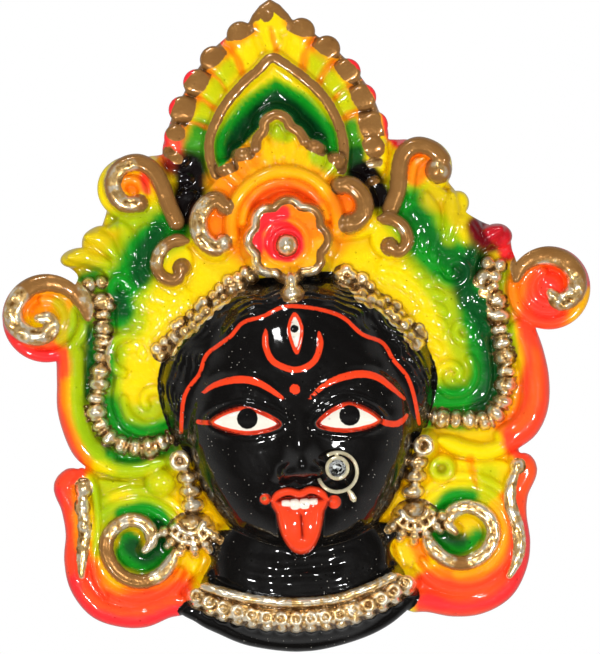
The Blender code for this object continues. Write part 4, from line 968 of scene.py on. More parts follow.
# Sprayed colour, in the order it goes on: colour, full width to each side, fade beyond it, strength, path
sprays = [
    ("lime", 7, 7, 0.9, [(-97, 30), (-92, 10), (-93, -10), (-97, -30), (-96, -46), (-84, -56), (-66, -56)]),
    ("green", 5.5, 4, 1.0, [(-97, 30), (-94, 10), (-95, -10), (-98, -30), (-98, -44), (-86, -54), (-64, -52)]),
    ("deep", 1.5, 4, 0.8, [(-100, 10), (-101, -20), (-102, -40), (-94, -53)]),
    ("orange", 4.5, 5, 0.9, [(-116, -8), (-116.5, -30), (-112, -50), (-107, -60)]),
    ("scarlet", 2.0, 3.5, 0.9, [(-117.5, -8), (-118, -30), (-114, -48), (-109, -60)]),
    ("orange", 4, 5, 0.8, [(-126, 20), (-114, 20), (-109, 10), (-112, 0)]),
    ("scarlet", 7, 4, 0.9, [(-139, 18), (-139, 6), (-132, -3), (-122, -6), (-114, -10)]),
    ("red", 5, 3, 0.9, [(-143, 18), (-142, 4), (-134, -6), (-120, -9)]),
    ("lime", 2, 4, 0.6, [(-113, 20), (-110, 10), (-112, 2)]),
    ("lime", 2.5, 3, 0.9, [(-104, 16), (-105, 0), (-106.5, -20), (-106, -38), (-98, -56)]),
    ("olive", 8, 6, 0.7, [(-108, 42), (-92, 50), (-85, 56)]),
    ("lime", 10, 8, 0.8, [(-56, 56), (-66, 50), (-72, 42), (-77, 32), (-83, 22), (-84, 12)]),
    ("green", 6, 6, 1.0, [(-54, 56), (-64, 51), (-71, 42), (-76, 32), (-83, 24), (-84, 13)]),
    ("deep", 2, 6, 0.9, [(-62, 53), (-69, 43), (-72, 31)]),
    ("deep", 2, 6, 0.9, [(-83, 20), (-82, 14)]),
    ("lime", 9, 6, 0.8, [(-92, -36), (-84, -44), (-70, -44), (-60, -40)]),
    ("green", 4, 6, 1.0, [(-92, -34), (-88, -44), (-74, -49), (-60, -46)]),
    ("lime", 11, 8, 0.85, [(62, 58), (70, 42), (78, 28), (88, 12), (93, -5), (95, -22), (90, -38), (74, -42)]),
    ("green", 8, 6, 1.0, [(64, 56), (69, 44), (76, 34), (86, 26), (94, 22), (97, 5), (99, -12), (99, -28),
                          (94, -40), (84, -43), (72, -43)]),
    ("deep", 3, 6, 0.9, [(98, 38), (95, 28), (88, 16), (96, 4), (100, -12), (100, -30), (94, -43)]),
    ("deep", 2, 7, 0.6, [(66, 53), (73, 43), (82, 31), (90, 25)]),
    ("olive", 3, 7, 0.9, [(76, 61), (84, 57), (86, 52)]),
    ("lime", 1, 5, 0.8, [(79, 50), (82, 41)]),
    ("maroon", 5, 4, 1.0, [(98, 45), (103, 39)]),
    ("crimson", 4.5, 3, 1.0, [(106, 44), (111, 38), (112, 33)]),
    ("lime", 2, 2, 0.9, [(109.5, 22), (109.5, 0), (111, -18)]),
    ("orange", 4, 5, 1.0, [(118, 24), (119, 0), (120, -25), (116, -46), (104, -57)]),
    ("scarlet", 8.5, 4.5, 1.0, [(127, -8), (125.5, -30), (124, -46), (113, -61)]),
    ("orange", 1.5, 3, 0.3, [(121, -12), (122, -30), (119, -45), (110, -55)]),
    ("orange", 19, 4, 1.0, [(131, 13), (132, 13)]),
    ("warm", 3, 4, 1.0, [(146, -2), (150, 8)]),
    ("red", 3.5, 3, 1.0, [(112, 33), (128, 34), (142, 29), (149, 18)]),
    ("scarlet", 8, 5, 0.95, [(130, 14), (128, 6), (124, -6)]),
    ("red", 4, 5, 0.5, [(131, 13), (128, 4)]),
    ("yellow", 3, 4, 1.0, [(70, -58), (84, -61), (98, -60)]),
    ("orange", 1.5, 3, 0.75, [(-9, 151), (-22, 141), (-33, 129), (-40, 117), (-46, 104), (-47, 92)]),
    ("orange", 1.5, 3, 0.75, [(8, 153), (20, 142), (30, 131), (38, 119), (42, 107), (43, 94)]),
    ("red", 3, 3, 1.0, [(-27, 146), (-39, 134), (-47, 121), (-56, 108), (-58, 94)]),
    ("red", 2.5, 3, 1.0, [(24, 148), (36, 137), (47, 121), (54, 108), (58, 94), (62, 90)]),
    ("red", 5, 4, 0.9, [(-53, 108), (-54, 96), (-53, 88)]),
    ("lime", 2, 6, 0.6, [(-23, 131), (-31, 119), (-37, 106)]),
    ("lime", 2, 6, 0.6, [(22, 131), (30, 121), (36, 108)]),
    ("green", 3, 6, 0.95, [(-38, 101), (-41, 90), (-40, 80)]),
    ("green", 2.5, 4, 0.95, [(37, 98), (38, 88), (37, 76)]),
    ("deep", 2, 4, 0.9, [(38, 86), (38, 76)]),
    ("maroon", 4, 5, 0.9, [(-53, 85), (-48, 84)]),
    ("black", 6, 6, 1.0, [(-44, 82), (-46, 70), (-48, 62)]),
    ("black", 5.5, 4, 1.0, [(42, 74), (47, 64)]),
    ("warm", 8, 8, 0.6, [(-8, 86), (2, 90), (12, 84)]),
    ("orange", 6, 7, 0.8, [(-27, 76), (-18, 84)]),
    ("lime", 3, 4, 0.9, [(0, 100), (4, 98)]),
    ("lime", 3, 5, 0.9, [(20, 86), (27, 80)]),
    ("orange", 18, 10, 0.75, [(-8, 55), (14, 55)]),
    ("scarlet", 2, 5, 0.6, [(-14, 64), (2, 70), (17, 64)]),
    ("warm", 2.5, 2, 0.9, [(-22, 66), (-12, 76), (2, 79), (15, 76), (24, 66)]),
    ("orange", 4, 6, 0.9, [(-36, 58), (-34, 50)]),
    ("orange", 4, 6, 0.9, [(30, 62), (36, 54)]),
    ("orange", 15, 4, 0.9, [(3, 46), (3.1, 46)]),
    ("warm", 3, 4, 0.8, [(-6, 30), (4, 28), (14, 33), (18, 40)]),
    ("red", 2.5, 2.5, 1.0, [(-14, 42), (-13, 50), (-7, 56), (1, 58)]),
    ("red", 9.2, 1.6, 1.0, [(0.8, 43.4), (0.9, 43.4)]),
    ("orange", 4, 3, 0.9, [(-76, 77), (-71, 77)]),
    ("red", 1.5, 3, 0.9, [(-67, 82), (-66, 73)]),
    ("orange", 4, 4, 0.9, [(70, 80), (67, 74)]),
    ("lime", 3, 5, 0.8, [(-82, 59), (-70, 60)]),
    ("lime", 2, 6, 0.7, [(-99, -70), (-97, -84)]),
    ("lime", 6, 5, 0.5, [(-68, -72), (-67, -72)]),
    ("lime", 3, 5, 0.7, [(-92, -70), (-80, -72), (-76, -80)]),
    ("lime", 5, 4, 0.8, [(-90, -86), (-78, -85), (-68, -90), (-66, -100)]),
    ("green", 3, 3, 1.0, [(-87, -86), (-78, -85), (-70, -90), (-67, -99), (-70, -108), (-79, -112), (-87, -107),
                          (-85, -100)]),
    ("deep", 1.5, 4, 0.9, [(-71, -94), (-71, -104), (-78, -109), (-84, -103)]),
    ("orange", 2.5, 3.5, 0.9, [(-112, -74), (-111, -98)]),
    ("orange", 4, 5, 1.0, [(-110, -100), (-105, -117), (-94, -127), (-78, -127), (-62, -121)]),
    ("lime", 1.5, 3, 0.7, [(-100, -74), (-99, -90), (-101, -104)]),
    ("scarlet", 6.5, 5, 0.95, [(-112, -112), (-106, -127), (-92, -134), (-76, -134), (-62, -130)]),
    ("red", 3, 3.5, 0.95, [(-117, -116), (-109, -132), (-92, -141), (-76, -141), (-63, -137)]),
    ("scarlet", 4.5, 3.5, 1.0, [(-110, -65), (-117, -70), (-117.5, -90), (-118, -110)]),
    ("red", 1.5, 3, 0.8, [(-120, -74), (-118.5, -92)]),
    ("lime", 1, 9, 0.6, [(95, -78), (95, -88), (84, -88), (70, -93)]),
    ("lime", 3, 4, 0.6, [(70, -73), (74, -73)]),
    ("orange", 0.2, 1.8, 0.45, [(86.5, -69), (87, -76), (89, -84)]),
    ("green", 2, 5, 1.0, [(86, -88), (78, -88), (70, -94), (67, -102), (72, -111), (82, -113), (88, -108)]),
    ("deep", 1.5, 4, 0.9, [(70, -97), (72, -105), (80, -109)]),
    ("orange", 4, 4.5, 1.0, [(105, -92), (106, -108), (97, -124), (81, -130), (64, -127)]),
    ("warm", 1.5, 4, 0.8, [(98, -93), (100, -108), (92, -121), (78, -125)]),
    ("orange", 2, 4, 0.8, [(60, -120), (58, -110)]),
    ("scarlet", 6, 5, 0.95, [(117, -72), (112, -90), (112, -110), (107, -125), (94, -135), (76, -137),
                             (60, -132)]),
    ("red", 4.5, 4, 0.9, [(115, -108), (111, -128), (97, -142), (76, -145), (62, -141)]),
]

# Coats inside the crown's leaf: colour, and the distances from its rim where it starts and is full
leafCoats = [("yellow", 0.0, 1.0), ("lime", 3.0, 4.5), ("green", 4.8, 7.2), ("deep", 8.5, 13.0)]


def sprayLeaf(colour):
    # inside the crown's leaf the coats follow its rim: each fades in between two distances from it
    leaf = smoothPath(crown["leaf"], 2.0)
    spot, d = areaDistance(np.vstack([leaf, crown["leafFoot"]]), 2)
    crestSpot, onCrest = areaDistance(smoothPath(crest["outline"], closed=True), 2)
    free = np.ones(gridX.shape)
    free[crestSpot] = step01(0.5, -0.5, onCrest)
    apex = 5.0 * step01(112, 132, gridZ[spot]) - 3.4 * step01(112, 96, gridZ[spot])
    for name, start, full in leafCoats:
        w = (step01(start, full, d - apex * (start > 0)) * free[spot])[..., None]
        colour[spot] = colour[spot] * (1 - w) + linear(colours[name]) * w


def sprayColours():
    # each coat: colour = colour * (1 - w) + coat * w, with w fading over a smooth step from the coat's path
    colour = np.empty(gridX.shape + (3,))
    colour[:] = linear(colours["yellow"])
    waver = handUnevenness(13, 1.3) + handUnevenness(5, 0.6)
    grooveLines = [("orange", 0.3, 1.8, 0.65, groove) for groove in crownGrooves()]
    for name, reach, fade, strength, points in sprays + grooveLines:
        spot, d, _ = pathDistance(smoothPath(points, 3.0), reach + fade + 2.5)
        w = (strength * step01(reach + fade, reach, d + waver[spot]))[..., None]
        colour[spot] = colour[spot] * (1 - w) + linear(colours[name]) * w
    sprayLeaf(colour)
    # painted highlight: how far each point stands above its surroundings, later used to brighten the raised
    # points of the pale bronze
    paint["raised"] = np.clip((height - blur(height, 1.3)) / 0.45, 0, 1)
    # painted shade in the hollows: the deeper below its surroundings, the deeper the tone
    for span, full in ((1.4, 0.9), (4.0, 3.0)):
        hollowShade = np.clip((blur(height, span) - height) / full, 0, 1)
        paint["hollowShade"] = np.maximum(paint["hollowShade"], hollowShade)
        colour *= 1 - hollowShade[..., None] * [0.04, 0.13, 0.25]
    return colour


def blur(values, sigma):
    # a bell-shaped average over sigma mm, along the rows and then along the columns
    reach = int(math.ceil(3 * sigma / grid["step"]))
    bell = np.exp(-0.5 * (np.arange(-reach, reach + 1) * grid["step"] / sigma) ** 2)
    bell /= bell.sum()
    for axis in (0, 1):
        padded = np.pad(values, [(reach, reach) if a == axis else (0, 0) for a in (0, 1)], mode="edge")
        size = values.shape[axis]
        values = sum(w * padded.take(range(i, i + size), axis=axis) for i, w in enumerate(bell))
    return values


def handUnevenness(scale, amount):
    # even random numbers on a coarse grid, read back with a smooth step between them
    rows, cols = (int(n * grid["step"] / scale) + 3 for n in gridX.shape)
    coarse = chance.uniform(-1, 1, (rows, cols))
    u, v = (gridZ - grid["bottom"]) / scale, (gridX - grid["left"]) / scale
    i, j = u.astype(int), v.astype(int)
    s, t = step01(0, 1, u - i), step01(0, 1, v - j)
    low = coarse[i, j] * (1 - t) + coarse[i, j + 1] * t
    high = coarse[i + 1, j] * (1 - t) + coarse[i + 1, j + 1] * t
    return amount * (low * (1 - s) + high * s)


print("relief: carving the form")
for build in (makePanel, makeFoliage, makeBorder, makeSideScrolls, makeTopScrolls, makeCrown, makeCrest,
              makeInnerScrolls, makeFlower, makeBeadStrings, makeLowerScrolls, makeHead, makeFeatures, makeMouth,
              makeNeck, makeEarrings, makeHair):
    build()
height = np.maximum(blur(height, 0.32), 1.5)
height += handUnevenness(9.0, 0.22) + handUnevenness(4.0, 0.12)
height += step01(0, 1.5, np.minimum(paint["gold"], paint["pale"])) * handUnevenness(2.6, 0.42)
height += step01(1, 8, paint["skin"]) * (handUnevenness(6.5, 0.42) + handUnevenness(3.0, 0.13))
print("relief: spraying the colours")
sprayed = sprayColours()


def keptPoints():
    # every fourth grid point, every second where the form bends, and all where it bends sharply
    bend = np.zeros_like(height)
    bend[1:-1, 1:-1] = np.abs(height[2:, 1:-1] + height[:-2, 1:-1] + height[1:-1, 2:] + height[1:-1, :-2]
                              - 4 * height[1:-1, 1:-1])
    slopeZ, slopeX = np.gradient(height, grid["step"])
    busy = blur(bend + 0.02 * np.hypot(slopeX, slopeZ), 0.8)
    usable = inside > 0.3
    rows, cols = np.indices(height.shape)
    coarse = usable & (rows % 4 == 0) & (cols % 4 == 0)
    middle = usable & (rows % 2 == 0) & (cols % 2 == 0) & ~coarse
    fine = usable & ~coarse & ~middle
    middleWanted = middle & (busy > np.quantile(busy[usable], 0.25))
    room = grid["points"] - coarse.sum() - middleWanted.sum()
    share = np.clip(1 - room / fine.sum(), 0, 1)
    fineWanted = fine & (busy > np.quantile(busy[fine], share))
    keep = coarse | middleWanted | fineWanted
    return rows[keep], cols[keep]


def edgePoints():
    # where the outline crosses the grid's lines, by linear interpolation, thinned to one in each small cell
    found = []
    for a, b in (((slice(None), slice(0, -1)), (slice(None), slice(1, None))),
                 ((slice(0, -1), slice(None)), (slice(1, None), slice(None)))):
        crosses = (inside[a] > 0) != (inside[b] > 0)
        t = inside[a][crosses] / (inside[a][crosses] - inside[b][crosses])
        found.append(np.column_stack([gridX[a][crosses] * (1 - t) + gridX[b][crosses] * t,
                                      gridZ[a][crosses] * (1 - t) + gridZ[b][crosses] * t]))
    points = np.vstack(found)
    _, first = np.unique(np.round(points / 0.45).astype(int), axis=0, return_index=True)
    return points[np.sort(first)]


def readGrid(values, points):
    # bilinear reading of a grid at any points
    u = (points[:, 1] - grid["bottom"]) / grid["step"]
    v = (points[:, 0] - grid["left"]) / grid["step"]
    i, j = np.clip(u.astype(int), 0, values.shape[0] - 2), np.clip(v.astype(int), 0, values.shape[1] - 2)
    s, t = (u - i), (v - j)
    if values.ndim == 3:
        s, t = s[:, None], t[:, None]
    return ((values[i, j] * (1 - t) + values[i, j + 1] * t) * (1 - s)
            + (values[i + 1, j] * (1 - t) + values[i + 1, j + 1] * t) * s)


# The wall round the casting: how far each ring is drawn in, and how deep it lies
wall = {"lower": 0.15, "lowerShare": 0.45, "chamfer": 1.1, "chamferDepth": 0.8, "back": 1.6}


def makeCasting():
    rows, cols = keptPoints()
    nodes = np.column_stack([gridX[rows, cols], gridZ[rows, cols]])
    rim = edgePoints()
    flat = np.vstack([nodes, rim])
    result = delaunay_2d_cdt([Vector(p) for p in flat], [], [], 0, 1e-5)
    points = np.array([tuple(p) for p in result[0]])
    faces = np.array(result[2])
    middle = points[faces].mean(axis=1)
    faces = faces[readGrid(inside, middle) > 0.0]
    used, faces = np.unique(faces, return_inverse=True)
    points, faces = points[used], faces.reshape(-1, 3)
    a, b, c = (points[faces[:, k]] for k in range(3))
    turned = np.cross(b - a, c - a) < 0
    faces[turned] = faces[turned][:, ::-1]
    # edges used by one face only make the outline
    sides = np.vstack([faces[:, [0, 1]], faces[:, [1, 2]], faces[:, [2, 0]]])
    key = np.sort(sides, axis=1)
    _, index, count = np.unique(key, axis=0, return_index=True, return_counts=True)
    outline = sides[index[count == 1]]
    ring = np.unique(outline)
    slot = np.full(len(points), -1)
    slot[ring] = np.arange(len(ring))
    front = readGrid(height, points)
    # the wall: two rings below the rim, the last one drawn in at the back
    dz, dx = np.gradient(blur(inside, 1.0), grid["step"])
    inward = np.column_stack([readGrid(dx, points[ring]), readGrid(dz, points[ring])])
    inward /= np.maximum(np.hypot(*inward.T), 1e-6)[:, None]
    n, m = len(points), len(ring)
    lower = points[ring] + inward * wall["lower"]
    chamfer = points[ring] + inward * wall["chamfer"]
    backRim = points[ring] + inward * wall["back"]
    verts = np.vstack([np.column_stack([points[:, 0], -front, points[:, 1]]),
                       np.column_stack([lower[:, 0], -front[ring] * wall["lowerShare"], lower[:, 1]]),
                       np.column_stack([chamfer[:, 0], np.full(m, -wall["chamferDepth"]), chamfer[:, 1]]),
                       np.column_stack([backRim[:, 0], np.zeros(m), backRim[:, 1]])])
    walls = []
    for level in range(3):
        up = np.where(level == 0, outline, n + (level - 1) * m + slot[outline])
        down = n + level * m + slot[outline]
        walls.append(np.column_stack([up[:, 1], up[:, 0], down[:, 0]]))
        walls.append(np.column_stack([up[:, 1], down[:, 0], down[:, 1]]))
    last = n + 2 * m
    loop = slot[outline]
    rimPoints = [Vector(p) for p in verts[last:][:, [0, 2]]]
    closing = delaunay_2d_cdt(rimPoints, [tuple(int(v) for v in e) for e in loop], [], 1, 1e-6)
    source = np.array([s[0] if s else -1 for s in closing[3]])
    backFaces = source[np.array(closing[2])]
    a, b, c = (verts[last + backFaces[:, k]][:, [0, 2]] for k in range(3))
    wrong = np.cross(b - a, c - a) > 0
    backFaces[wrong] = backFaces[wrong][:, ::-1]
    faces = np.vstack([faces] + walls + [backFaces + last])
    low, high = (np.array(cadBox[k])[[0, 2]] / mm for k in (0, 1))
    verts[:, [0, 2]] = np.clip(verts[:, [0, 2]], low + 0.05, high - 0.05)
    print("casting:", n, "front points,", len(faces), "faces,", len(outline), "edge pieces")
    return verts, faces


def newMesh(name, verts, faces):
    mesh = bpy.data.meshes.new(name)
    mesh.from_pydata(verts.tolist(), [], faces.tolist())
    mesh.validate()
    thing = bpy.data.objects.new(name, mesh)
    bpy.context.scene.collection.objects.link(thing)
    return thing


print("relief: making the mesh")
verts, faces = makeCasting()
casting = newMesh("painted_casting", verts * mm, faces)
casting.data.shade_smooth()
casting.data.set_sharp_from_angle(angle=math.radians(75))

flatPlaces = verts[:, [0, 2]]
cast = casting.data
for name in paint:
    store = cast.attributes.new(name, "FLOAT", "POINT")
    store.data.foreach_set("value", np.clip(readGrid(paint[name], flatPlaces), -9, 9).astype(np.float32))
rgba = np.ones((len(verts), 4), np.float32)
rgba[:, :3] = readGrid(sprayed, flatPlaces)
store = cast.attributes.new("sprayed", "FLOAT_COLOR", "POINT")
store.data.foreach_set("color", rgba.ravel())


# Node settings that several materials share
multiply = {"operation": "MULTIPLY"}
multiplyAdd = {"operation": "MULTIPLY_ADD"}
ofColour = {"data_type": "RGBA"}
smoothStep = {"interpolation_type": "SMOOTHSTEP"}


def addNode(tree, kind, settings=None, **inputs):
    # adds one node, sets its own settings, and sets or links its inputs by name
    node = tree.nodes.new(kind)
    for key, value in (settings or {}).items():
        setattr(node, key, value)
    for key, value in inputs.items():
        numbered = key[0] == "i" and key[1:].isdigit()
        socket = node.inputs[int(key[1:]) if numbered else key.replace("_", " ")]
        if isinstance(value, bpy.types.NodeSocket):
            tree.links.new(value, socket)
        else:
            socket.default_value = value
    return node


def newMaterial(name):
    material = bpy.data.materials.new(name)
    material.use_nodes = True
    tree = material.node_tree
    shader = tree.nodes["Principled BSDF"]
    return material, tree, shader


def hexColour(code):
    return (*linear(code), 1.0)


# Patterns a metre, 1000 / size in mm
enamel = {"edge": 420.0,   # the shaken edge of a brush stroke, 2.4 mm
          "tone": 110.0,   # cloudy bronze, 9 mm
          "glareMottle": 260.0,  # rubbed foil, 4 mm
          "speckCells": 560.0,   # patches of painted highlight on the pale bronze, 4 mm
          "drift": 38.0,   # where the specks gather, 26 mm
          "waves": 140.0,  # waves in the lacquer, 7 mm
          "grit": 330.0}   # cells of 3 mm, a pinhole in some of them


def enamelOnPlaster():
    # Gloss enamel and bronze paint brushed and sprayed on cast plaster, under clear lacquer: wet highlights,
    # soft sprayed blends, hard brushed edges, and pinholes where air was caught in the mould.
    material, tree, shader = newMaterial("gloss_enamel_on_plaster")
    place = addNode(tree, "ShaderNodeTexCoord").outputs["Object"]
    wobble = addNode(tree, "ShaderNodeTexNoise", Vector=place, Scale=enamel["edge"], Detail=3.0).outputs["Fac"]
    colour = addNode(tree, "ShaderNodeAttribute", {"attribute_name": "sprayed"}).outputs["Color"]

    def mask(name, soft, rough=0.5):
        # 0 outside the painted area and 1 inside it, its edge shaken by noise
        value = addNode(tree, "ShaderNodeAttribute", {"attribute_name": name}).outputs["Fac"]
        shaken = addNode(tree, "ShaderNodeMath", multiplyAdd, i0=wobble, i1=2 * rough, i2=value)
        return addNode(tree, "ShaderNodeMapRange", smoothStep, Value=shaken.outputs[0],
                       From_Min=rough - soft, From_Max=rough + soft).outputs[0]

    def over(base, code, share):
        mix = addNode(tree, "ShaderNodeMix", ofColour, i0=share, i6=base, i7=hexColour(code))
        return mix.outputs[2]

    skin, gold, red = mask("skin", 0.3), mask("gold", 0.3, 0.7), mask("red", 0.25, 0.25)
    # the pale mask: bronze that carries painted highlights, and more metal
    pale = mask("pale", 1.5, 1.0)
    white, iris = mask("white", 0.2, 0.2), mask("iris", 0.2, 0.1)
    colour = over(colour, "#0b0908", skin)
    colour = over(colour, "#f1411a", red)
    # painted shade: the red turns dark red in the hollows
    redShade = addNode(tree, "ShaderNodeAttribute", {"attribute_name": "hollowShade"}).outputs["Fac"]
    redShade = addNode(tree, "ShaderNodeMath", multiply, i0=redShade, i1=red).outputs[0]
    colour = over(colour, "#7c1208", redShade)
    colour = over(colour, "#e9e3d4", white)
    colour = over(colour, "#0a0808", iris)
    tone = addNode(tree, "ShaderNodeTexNoise", Vector=place, Scale=enamel["tone"], Detail=3.0).outputs["Fac"]
    # painted highlight on the pale bronze: mottled from brown to cream with cream-white glints, by noise patches
    # and by how far each point stands raised
    glareMottle = addNode(tree, "ShaderNodeTexNoise", Vector=place, Scale=enamel["glareMottle"], Detail=3.0).outputs["Fac"]
    raised = addNode(tree, "ShaderNodeAttribute", {"attribute_name": "raised"}).outputs["Fac"]
    highlightLevel = addNode(tree, "ShaderNodeMath", multiplyAdd, i0=raised, i1=0.16, i2=glareMottle).outputs[0]
    litShare = addNode(tree, "ShaderNodeMapRange", Value=highlightLevel, From_Min=0.38, From_Max=0.56).outputs[0]
    glint = addNode(tree, "ShaderNodeMapRange", smoothStep, Value=highlightLevel, From_Min=0.60,
                    From_Max=0.68).outputs[0]
    # painted shade: the bronze turns dark brown in the hollows
    hollowShade = addNode(tree, "ShaderNodeAttribute", {"attribute_name": "hollowShade"}).outputs["Fac"]
    hollowShade = addNode(tree, "ShaderNodeMath", multiply, i0=hollowShade, i1=0.8).outputs[0]
    dull, bright = "#8f5f2e", "#a97c46"
    bronze = addNode(tree, "ShaderNodeMix", ofColour, i0=tone, i6=hexColour(dull), i7=hexColour(bright))
    paleHighlight = addNode(tree, "ShaderNodeMix", ofColour, i0=litShare, i6=hexColour("#9c6a32"),
                      i7=hexColour("#f4ca84"))
    paleHighlight = addNode(tree, "ShaderNodeMix", ofColour, i0=glint, i6=paleHighlight.outputs[2],
                      i7=hexColour("#fff0d2"))
    bronze = addNode(tree, "ShaderNodeMix", ofColour, i0=pale, i6=bronze.outputs[2], i7=paleHighlight.outputs[2])
    bronze = over(bronze.outputs[2], "#4a2d12", hollowShade)
    mix = addNode(tree, "ShaderNodeMix", ofColour, i0=gold, i6=colour, i7=bronze)
    # pale specks on the black: dust in the lacquer and painted glints, thicker in drifts
    speckCells = addNode(tree, "ShaderNodeTexVoronoi", Vector=place, Scale=enamel["speckCells"])
    picked = addNode(tree, "ShaderNodeSeparateColor", Color=speckCells.outputs["Color"]).outputs[1]
    drift = addNode(tree, "ShaderNodeTexNoise", Vector=place, Scale=enamel["drift"], Detail=2.0).outputs["Fac"]
    thick = addNode(tree, "ShaderNodeMapRange", Value=drift, From_Min=0.4, From_Max=0.62, To_Min=0.03,
                    To_Max=0.34).outputs[0]
    rare = addNode(tree, "ShaderNodeMath", {"operation": "LESS_THAN"}, i0=picked, i1=thick).outputs[0]
    dot = addNode(tree, "ShaderNodeMapRange", Value=speckCells.outputs["Distance"], From_Min=0.08, From_Max=0.17,
                  To_Min=0.6, To_Max=0.0).outputs[0]
    onSkin = addNode(tree, "ShaderNodeMath", multiply, i0=skin, i1=rare).outputs[0]
    dustAndGlint = addNode(tree, "ShaderNodeMath", multiply, i0=dot, i1=onSkin).outputs[0]
    tree.links.new(over(mix.outputs[2], "#d8d2c6", dustAndGlint), shader.inputs["Base Color"])
    leafy = addNode(tree, "ShaderNodeMath", multiplyAdd, i0=pale, i1=0.38, i2=0.3).outputs[0]
    metal = addNode(tree, "ShaderNodeMath", multiply, i0=gold, i1=leafy)
    tree.links.new(metal.outputs[0], shader.inputs["Metallic"])
    painted = addNode(tree, "ShaderNodeMapRange", Value=skin, To_Min=0.34, To_Max=0.5).outputs[0]
    rough = addNode(tree, "ShaderNodeMix", i0=gold, i2=painted, i3=0.26)
    tree.links.new(rough.outputs[0], shader.inputs["Roughness"])
    shader.inputs["Specular IOR Level"].default_value = 0.08
    shader.inputs["Coat Weight"].default_value = 0.9
    shader.inputs["Coat Roughness"].default_value = 0.06
    grain = addNode(tree, "ShaderNodeTexNoise", Vector=place, Scale=900.0, Detail=2.0).outputs["Fac"]
    soft = addNode(tree, "ShaderNodeBump", Height=grain, Strength=0.12, Distance=0.0006)
    waves = addNode(tree, "ShaderNodeTexNoise", Vector=place, Scale=enamel["waves"], Detail=2.0).outputs["Fac"]
    bumped = addNode(tree, "ShaderNodeBump", Height=waves, Strength=0.3, Distance=0.002, Normal=soft.outputs[0])
    grit = addNode(tree, "ShaderNodeTexVoronoi", Vector=place, Scale=enamel["grit"])
    chosen = addNode(tree, "ShaderNodeSeparateColor", Color=grit.outputs["Color"]).outputs[0]
    near = addNode(tree, "ShaderNodeMapRange", Value=grit.outputs["Distance"], From_Min=0.06, From_Max=0.16,
                   To_Min=1.0, To_Max=0.0).outputs[0]
    some = addNode(tree, "ShaderNodeMath", {"operation": "GREATER_THAN"}, i0=chosen, i1=0.72)
    dots = addNode(tree, "ShaderNodeMath", multiply, i0=near, i1=some.outputs[0])
    specks = addNode(tree, "ShaderNodeBump", Height=dots.outputs[0], Strength=1.0, Distance=0.0005,
                     Normal=bumped.outputs[0])
    tree.links.new(specks.outputs[0], shader.inputs["Normal"])
    return material


def polishedBrass():
    # Drawn brass wire, hand bent and rubbed bright: warm mirror highlights with a faint drawn grain.
    material, tree, shader = newMaterial("polished_brass_wire")
    place = addNode(tree, "ShaderNodeTexCoord").outputs["Object"]
    tarnish = addNode(tree, "ShaderNodeTexNoise", Vector=place, Scale=300.0, Detail=4.0).outputs["Fac"]
    mix = addNode(tree, "ShaderNodeMix", ofColour, i0=tarnish, i6=hexColour("#d0bd7e"),
                  i7=hexColour("#fffae4"))
    # the cup is lined with silver foil, painted in dark and bright cells as a painted reflection of the stone's
    # facets, up to 4.2 mm from the middle of the stone, about 2 mm a cell
    stoneMiddle = (0.020, -0.0615, -0.0685)
    offset = addNode(tree, "ShaderNodeVectorMath", {"operation": "SUBTRACT"}, i0=place, i1=stoneMiddle)
    away = addNode(tree, "ShaderNodeVectorMath", {"operation": "LENGTH"}, i0=offset.outputs[0]).outputs["Value"]
    lined = addNode(tree, "ShaderNodeMath", {"operation": "LESS_THAN"}, i0=away, i1=0.0042).outputs[0]
    facets = addNode(tree, "ShaderNodeTexVoronoi", Vector=place, Scale=520.0).outputs["Color"]
    facet = addNode(tree, "ShaderNodeSeparateColor", Color=facets).outputs[0]
    facetSparkle = addNode(tree, "ShaderNodeMapRange", Value=facet, From_Min=0.4, From_Max=0.6).outputs[0]
    lining = addNode(tree, "ShaderNodeMix", ofColour, i0=facetSparkle, i6=hexColour("#141618"),
                     i7=hexColour("#f4f6f8"))
    mix = addNode(tree, "ShaderNodeMix", ofColour, i0=lined, i6=mix.outputs[2], i7=lining.outputs[2])
    tree.links.new(mix.outputs[2], shader.inputs["Base Color"])
    shader.inputs["Metallic"].default_value = 0.45
    rough = addNode(tree, "ShaderNodeMapRange", Value=tarnish, To_Min=0.12, To_Max=0.34)
    tree.links.new(rough.outputs[0], shader.inputs["Roughness"])
    bumped = addNode(tree, "ShaderNodeBump", Height=tarnish, Strength=0.4, Distance=0.0003)
    tree.links.new(bumped.outputs[0], shader.inputs["Normal"])
    return material


def cutGlass():
    # A clear pressed glass stone: see-through, with hard small highlights on its facets.
    material, tree, shader = newMaterial("clear_cut_glass")
    place = addNode(tree, "ShaderNodeTexCoord").outputs["Object"]
    haze = addNode(tree, "ShaderNodeTexNoise", Vector=place, Scale=900.0, Detail=2.0).outputs["Fac"]
    rough = addNode(tree, "ShaderNodeMapRange", Value=haze, To_Min=0.0, To_Max=0.06)
    tree.links.new(rough.outputs[0], shader.inputs["Roughness"])
    shader.inputs["Base Color"].default_value = hexColour("#f4f6f6")
    shader.inputs["Transmission Weight"].default_value = 1.0
    shader.inputs["IOR"].default_value = 1.52
    return material


def repaint(name, material):
    # a CAD node keeps its shape and gets a new finish in every slot
    thing = bpy.data.objects[name]
    thing.data.materials.clear()
    thing.data.materials.append(material)


